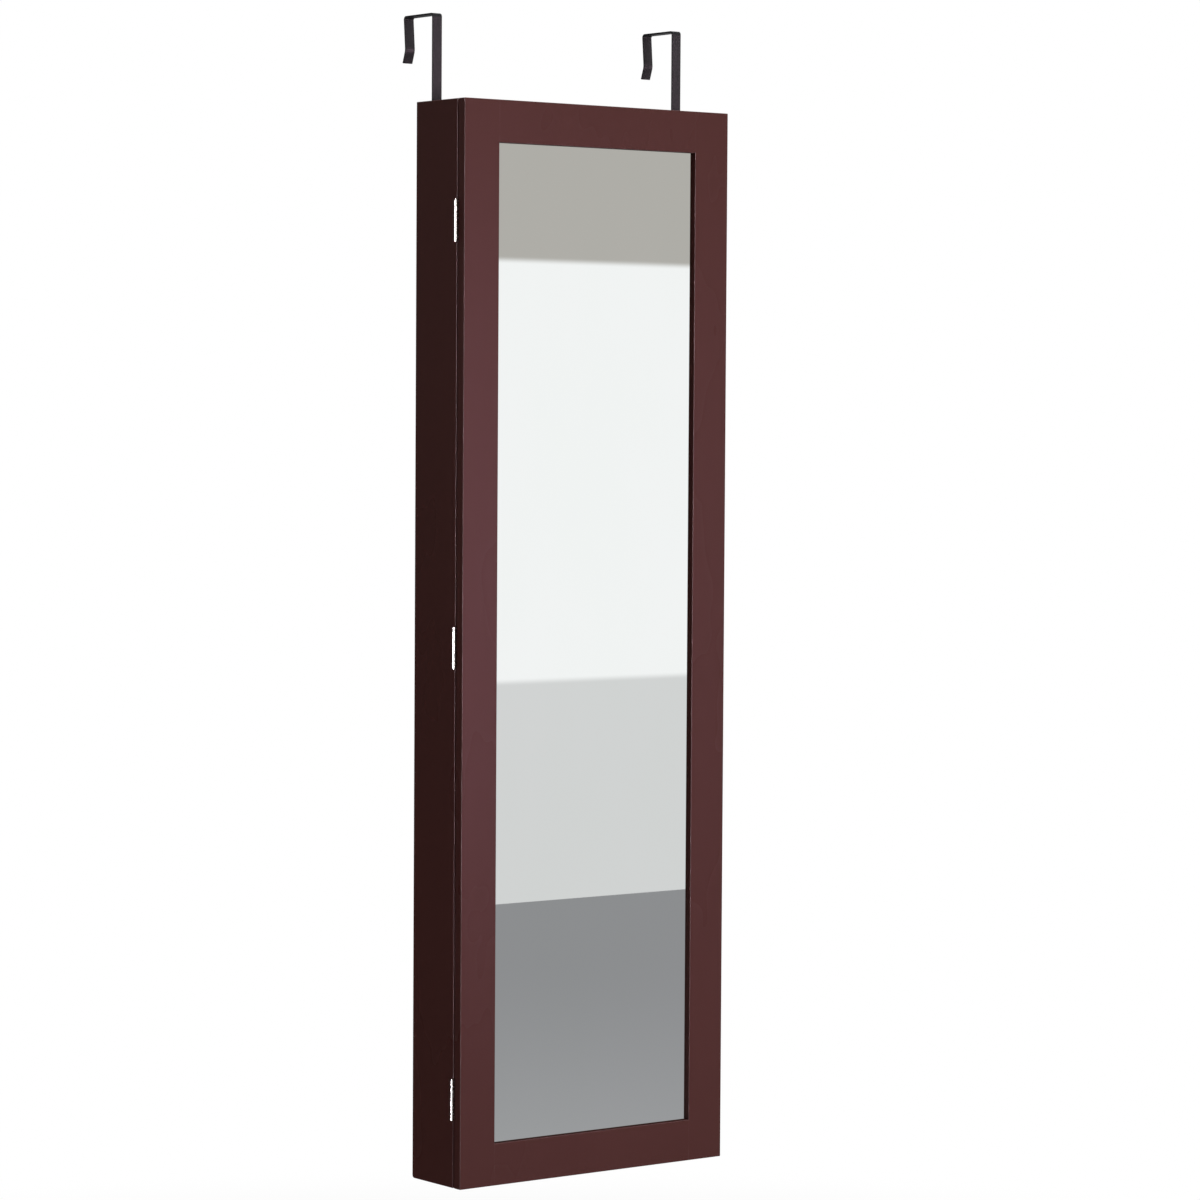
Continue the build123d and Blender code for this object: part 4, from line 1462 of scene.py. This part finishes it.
@dataclass
class Linings:
    """The velvet that is stretched over the back, the shelves and the door's inside.

    Attributes:
        turn: the radius of a lining's wrapped edge.
        pile: how far the pile of a shelf lining rises and falls.
        pile_waves: how wide its waves are, across and deep.
        steps: how many steps a shelf lining has along its length.
        band: how far under the top a point still belongs to the pile, over the turn.
    """

    turn: float = 0.4 * MM
    pile: float = 0.06 * MM
    pile_waves: tuple[float, float] = (9 * MM, 7 * MM)
    steps: int = 40
    band: float = 0.1

    def build(self) -> None:
        """Makes every lining."""
        stretched_velvet("back_lining", "stretched_back_lining", CASE, self.turn)
        stretched_velvet("door_lining", "stretched_door_lining", DOOR, self.turn)
        floors = ("bottom_panel", "bottle_shelf", "bracelet_shelf", "lipstick_shelf", "ring_shelf",
                  "necklace_shelf")
        for box, floor in zip(solid_boxes("shelf_linings"), floors):
            self.shelf_lining(box, floor)

    def shelf_lining(self, box: Block, floor: str) -> None:
        """The lining of one shelf, rounded over at its edges.

        Args:
            box: the lining's box.
            floor: the shelf or panel under it.
        """
        shape = bmesh.new()
        bmesh.ops.create_cube(shape, size=1.0)
        for vertex in shape.verts:
            vertex.co = box.centre + Vector(a * b for a, b in zip(vertex.co, box.size))
        bmesh.ops.bevel(shape, geom=shape.edges[:], offset=self.turn, segments=TURN_STEPS,
                        profile=0.5, affect="EDGES", clamp_overlap=True)
        long_edges = [edge for edge in shape.edges if edge.calc_length() > box.size.x / 2]
        bmesh.ops.subdivide_edges(shape, edges=long_edges, cuts=self.steps, use_grid_fill=True)
        across, deep = self.pile_waves
        for vertex in shape.verts:
            if vertex.co.z > box.high.z - self.band * self.turn:
                wave = math.sin(vertex.co.x / across) * math.cos(vertex.co.y / deep)
                vertex.co.z -= self.pile * (1 + wave)
        name = floor + "_lining"
        piece = new_object(name, mesh_of(name, shape))
        settle(piece, VELVET, CASE, VELVET.slot, "shelf_linings")


# The studio


@dataclass
class Lamp:
    """A soft box that lights the matte side of things. The cards give the gloss.

    Attributes:
        name: its name.
        azimuth: its direction from the front, to the right, in degrees.
        distance: how far it stands from the cabinet's axis.
        height: how high it hangs.
        width: the width of its face.
        tall: the height of its face.
        power: its power in watts.
    """

    name: str
    azimuth: float
    distance: float
    height: float
    width: float
    tall: float
    power: float

    def build(self, target: Vector) -> None:
        """Sets the lamp up.

        Args:
            target: the point that it is aimed at.
        """
        data = bpy.data.lights.new(self.name, "AREA")
        data.shape = "RECTANGLE"
        data.size, data.size_y, data.energy = self.width, self.tall, self.power
        lamp = bpy.data.objects.new(self.name, data)
        bpy.context.scene.collection.objects.link(lamp)
        angle = math.radians(self.azimuth)
        lamp.location = (self.distance * math.sin(angle), -self.distance * math.cos(angle), self.height)
        lamp.rotation_euler = (lamp.location - target).to_track_quat("Z", "Y").to_euler()
        lamp.visible_glossy = False


@dataclass
class Studio:
    """A plain pale studio: floor, wall, two cards, lamps, world and camera.

    Attributes:
        drop: how far the floor lies under the cabinet, which hangs.
        floor_half: half the floor's width.
        floor_color: the floor's colour.
        floor_glow: how much white the floor adds of its own near the cabinet.
        floor_near: what the mirror shows of the floor near the cabinet.
        floor_far: what the mirror shows of the floor at the wall.
        fade_start: where the floor begins to fade to the white background.
        fade_end: where it is all white.
        card_distance: how far in front of the cabinet the pale wall stands.
        card_half: half the wall's width.
        card_height: the wall's height.
        wall_low: the wall's colour near the floor.
        wall_high: the colour of the long soft box on it.
        wall_top: the wall's colour above the soft box.
        box_foot: the height of the soft box's lower edge.
        box_top: the height of its upper edge.
        box_edge: how soft its edges are.
        side_card: the left, right, lower and upper edge of the card beside the mirror's view.
        side_gap: how far it stands in front of the wall.
        side_color: that card's colour.
        side_strength: its strength.
        strip_azimuth: the direction of the strip whose glint the left-hand edges show, in degrees.
        strip_distance: how far it stands from the cabinet.
        strip_half: half its width.
        strip_rise: the heights of its lower and upper edge.
        strip_color: its colour.
        strip_strength: its strength.
        ambient: the world's strength for the light that it gives.
        dim: the strength of what gloss shows behind the cabinet's left side.
        bright_side: the direction in which gloss shows the bright side of the studio.
        floor_dusk: how far along that direction the floor goes from dim to lit.
        world_dusk: how far along it the background does.
        lamps: the lamps.
    """

    drop: float = 0.40
    floor_half: float = 30.0
    floor_color: Color = (0.82, 0.82, 0.82)
    floor_glow: float = 0.5
    floor_near: Color = (0.42, 0.42, 0.43)
    floor_far: Color = (0.29, 0.29, 0.30)
    fade_start: float = 0.5
    fade_end: float = 2.2
    card_distance: float = 5.0
    card_half: float = 9.0
    card_height: float = 4.0
    wall_low: Color = (0.70, 0.70, 0.70)
    wall_high: Color = (0.97, 0.97, 0.97)
    wall_top: Color = (0.47, 0.45, 0.42)
    box_foot: float = 0.16
    box_top: float = 1.24
    box_edge: float = 0.02
    side_card: tuple[float, float, float, float] = (1.5, 3.25, -0.35, 1.30)
    side_gap: float = 0.02
    side_color: Color = (1.0, 0.62, 0.84)
    side_strength: float = 13.0
    strip_azimuth: float = -62.0
    strip_distance: float = 3.6
    strip_half: float = 0.5
    strip_rise: tuple[float, float] = (-0.5, 1.9)
    strip_color: Color = (1.0, 0.88, 0.96)
    strip_strength: float = 45.0
    ambient: float = 0.19
    dim: float = 0.03
    bright_side: Triple = (0.8, -0.6, 0.0)
    floor_dusk: tuple[float, float] = (-1.0, -0.2)
    world_dusk: tuple[float, float] = (-0.7, -0.2)
    lamps: tuple[Lamp, ...] = (
        Lamp("key", 14.0, 4.4, 1.3, 1.4, 2.2, 60.0),
        Lamp("overhead", 40.0, 0.7, 3.3, 2.4, 2.0, 40.0),
    )

    def build(self) -> None:
        """Sets the whole studio up."""
        low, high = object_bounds()
        target = (low + high) / 2
        self.floor()
        self.wall()
        self.side()
        self.strip()
        self.world()
        for lamp in self.lamps:
            lamp.build(target)
        bpy.context.scene.view_settings.view_transform = "Standard"
        Camera().build()

    def quad(self, name: str, corners: list[Triple]) -> bpy.types.Object:
        """A flat stage piece with four corners.

        Args:
            name: its name.
            corners: the four corners, in order.

        Returns:
            The piece.
        """
        mesh = bpy.data.meshes.new(name)
        mesh.from_pydata(corners, [], [(0, 1, 2, 3)])
        made = new_object(name, mesh)
        made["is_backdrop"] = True
        return made

    def towards_light(self, graph: Graph, vector: bpy.types.NodeSocket) -> bpy.types.NodeSocket:
        """How far a place or a direction lies towards the bright side."""
        inputs = {0: vector, 1: self.bright_side}
        return graph.add("ShaderNodeVectorMath", inputs, operation="DOT_PRODUCT").outputs["Value"]

    def floor(self) -> None:
        """A pale floor that fades to the background away from the cabinet."""
        half = self.floor_half
        sides = ((-half, -half), (half, -half), (half, half), (-half, half))
        piece = self.quad("studio_floor", [(x, y, -self.drop) for x, y in sides])
        made, graph = empty_material("studio_floor")
        piece.data.materials.append(made)
        place = graph.add("ShaderNodeTexCoord").outputs["Object"]
        flat = graph.add("ShaderNodeVectorMath", {0: place, 1: (1.0, 1.0, 0.0)}, operation="MULTIPLY")
        length = graph.add("ShaderNodeVectorMath", {0: flat.outputs[0]}, operation="LENGTH")
        away = length.outputs["Value"]
        path = graph.add("ShaderNodeLightPath").outputs
        glossy = path["Is Glossy Ray"]
        seen = graph.maths("MAXIMUM", path["Is Camera Ray"], path["Is Transmission Ray"])
        fade = graph.ramp(away, self.fade_start, self.fade_end, self.floor_glow, 1.0)
        share = graph.maths("MAXIMUM", graph.maths("MULTIPLY", fade, seen), glossy)
        far = graph.ramp(away, 0.0, self.card_distance)
        ahead = graph.blend(far, opaque(self.floor_near), opaque(self.floor_far))
        lit = graph.ramp(self.towards_light(graph, place), *self.floor_dusk)
        mirrored = graph.blend(lit, opaque((self.dim,) * 3), ahead)
        shown = graph.blend(glossy, opaque((1.0, 1.0, 1.0)), mirrored)
        matte = graph.add("ShaderNodeBsdfDiffuse", {"Color": opaque(self.floor_color)})
        white = graph.add("ShaderNodeEmission", {"Color": shown})
        mixed = graph.add("ShaderNodeMixShader", {0: share, 1: matte.outputs[0], 2: white.outputs[0]})
        graph.add("ShaderNodeOutputMaterial", {"Surface": mixed.outputs[0]})

    def card(self, name: str, left: tuple[float, float], right: tuple[float, float],
             rise: tuple[float, float]) -> Graph:
        """An upright card that only gloss and the mirror show, with an empty material.

        Args:
            name: the card's name.
            left: where its left edge stands on the floor's plane.
            right: where its right edge stands.
            rise: the heights of its lower and upper edge.

        Returns:
            The graph of its material.
        """
        low, high = rise
        piece = self.quad(name, [(*left, low), (*right, low), (*right, high), (*left, high)])
        for rays in ("camera", "diffuse", "transmission", "shadow"):
            setattr(piece, "visible_" + rays, False)
        made, graph = empty_material(name)
        piece.data.materials.append(made)
        return graph

    def shine(self, graph: Graph, color: Any, strength: Any) -> None:
        """Makes a card glow, for the first reflection only.

        Args:
            graph: the graph of its material.
            color: its colour.
            strength: its strength.
        """
        depth = graph.add("ShaderNodeLightPath").outputs["Ray Depth"]
        first = graph.maths("LESS_THAN", depth, FIRST_REFLECTION)
        inputs = {"Color": color, "Strength": graph.maths("MULTIPLY", first, strength)}
        glow = graph.add("ShaderNodeEmission", inputs)
        graph.add("ShaderNodeOutputMaterial", {"Surface": glow.outputs[0]})

    def side(self) -> None:
        """The tinted card that the left stile's satin shows and the mirror doesn't."""
        y = -self.card_distance + self.side_gap
        left, right, low, high = self.side_card
        graph = self.card("studio_side_card", (left, y), (right, y), (low, high))
        self.shine(graph, opaque(self.side_color), self.side_strength)

    def strip(self) -> None:
        """The tall card whose glint runs down the left-hand edges and the hinge barrels."""
        angle = math.radians(self.strip_azimuth)
        centre = Vector((math.sin(angle), -math.cos(angle))) * self.strip_distance
        half = Vector((math.cos(angle), math.sin(angle))) * self.strip_half
        graph = self.card("studio_strip", tuple(centre - half), tuple(centre + half), self.strip_rise)
        self.shine(graph, opaque(self.strip_color), self.strip_strength)

    def wall(self) -> None:
        """The pale wall in front of the cabinet, with a long soft box on it."""
        half, y = self.card_half, -self.card_distance
        graph = self.card("studio_wall", (-half, y), (half, y), (-self.drop, self.card_height))
        place = graph.add("ShaderNodeTexCoord").outputs["Object"]
        height = graph.add("ShaderNodeSeparateXYZ", {0: place}).outputs["Z"]
        foot = graph.ramp(height, self.box_foot, self.box_foot + self.box_edge)
        top = graph.ramp(height, self.box_top, self.box_top + self.box_edge)
        rising = graph.blend(foot, opaque(self.wall_low), opaque(self.wall_high))
        closing = graph.blend(top, rising, opaque(self.wall_top))
        self.shine(graph, closing, 1.0)

    def world(self) -> None:
        """A white background that gives only a soft even light.

        The camera, glass and gloss see it white, but gloss sees it dim behind the cabinet's left
        side, as in a studio with one unlit corner.
        """
        world = bpy.data.worlds.new("studio")
        bpy.context.scene.world = world
        world.use_nodes = True
        world.node_tree.nodes.clear()
        graph = Graph(world.node_tree)
        path = graph.add("ShaderNodeLightPath").outputs
        direction = graph.add("ShaderNodeTexCoord").outputs["Generated"]
        gloss = graph.ramp(self.towards_light(graph, direction), *self.world_dusk, self.dim)
        seen = graph.maths("MAXIMUM", path["Is Camera Ray"], path["Is Transmission Ray"])
        first = graph.maths("LESS_THAN", path["Ray Depth"], FIRST_REFLECTION)
        direct = graph.maths("MULTIPLY", path["Is Glossy Ray"], first)
        shown = graph.maths("MAXIMUM", seen, graph.maths("MULTIPLY", direct, gloss))
        any_seen = graph.maths("MAXIMUM", seen, direct)
        light = graph.maths("MULTIPLY", graph.maths("SUBTRACT", 1.0, any_seen), self.ambient)
        strength = graph.maths("ADD", shown, light)
        back = graph.add("ShaderNodeBackground", {"Color": (1.0, 1.0, 1.0, 1.0), "Strength": strength})
        graph.add("ShaderNodeOutputWorld", {"Surface": back.outputs[0]})


@dataclass
class Camera:
    """The camera at the photograph's viewing angle.

    Attributes:
        place: where it stands.
        yaw: how far it looks to the right of straight back, in degrees.
        pitch: how far it looks up.
        roll: how far it leans.
        lens_mm: its lens.
        sensor_mm: the width of its sensor.
    """

    place: Triple = (-2.812, -3.820, 0.854)
    yaw: float = 37.08
    pitch: float = -2.533
    roll: float = 0.350
    lens_mm: float = 124.92
    sensor_mm: float = 36.0

    def build(self) -> None:
        """Makes the camera and gives it to the scene."""
        yaw, pitch, roll = (math.radians(a) for a in (self.yaw, self.pitch, self.roll))
        flat = math.cos(pitch)
        ahead = Vector((math.sin(yaw) * flat, math.cos(yaw) * flat, math.sin(pitch)))
        level = Vector((math.cos(yaw), -math.sin(yaw), 0.0))
        upright = level.cross(ahead)
        right = level * math.cos(roll) + upright * math.sin(roll)
        up = upright * math.cos(roll) - level * math.sin(roll)
        data = bpy.data.cameras.new("camera")
        data.sensor_width, data.lens = self.sensor_mm, self.lens_mm
        camera = bpy.data.objects.new("camera", data)
        bpy.context.scene.collection.objects.link(camera)
        turn = Matrix((right, up, -ahead)).transposed().to_4x4()
        camera.matrix_world = Matrix.Translation(self.place) @ turn
        bpy.context.scene.camera = camera


def main() -> None:
    """Builds the looks of the cabinet, one sub-assembly after another."""
    logging.basicConfig(level=logging.INFO, format="%(name)s: %(message)s")
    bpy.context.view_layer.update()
    Studio().build()
    for part in (CaseBody(), MirrorDoor(), Hardware(), NecklaceBay(), RingBay(), Linings()):
        log.info("building %s", type(part).__name__)
        part.build()


if __name__ == "__main__":
    main()
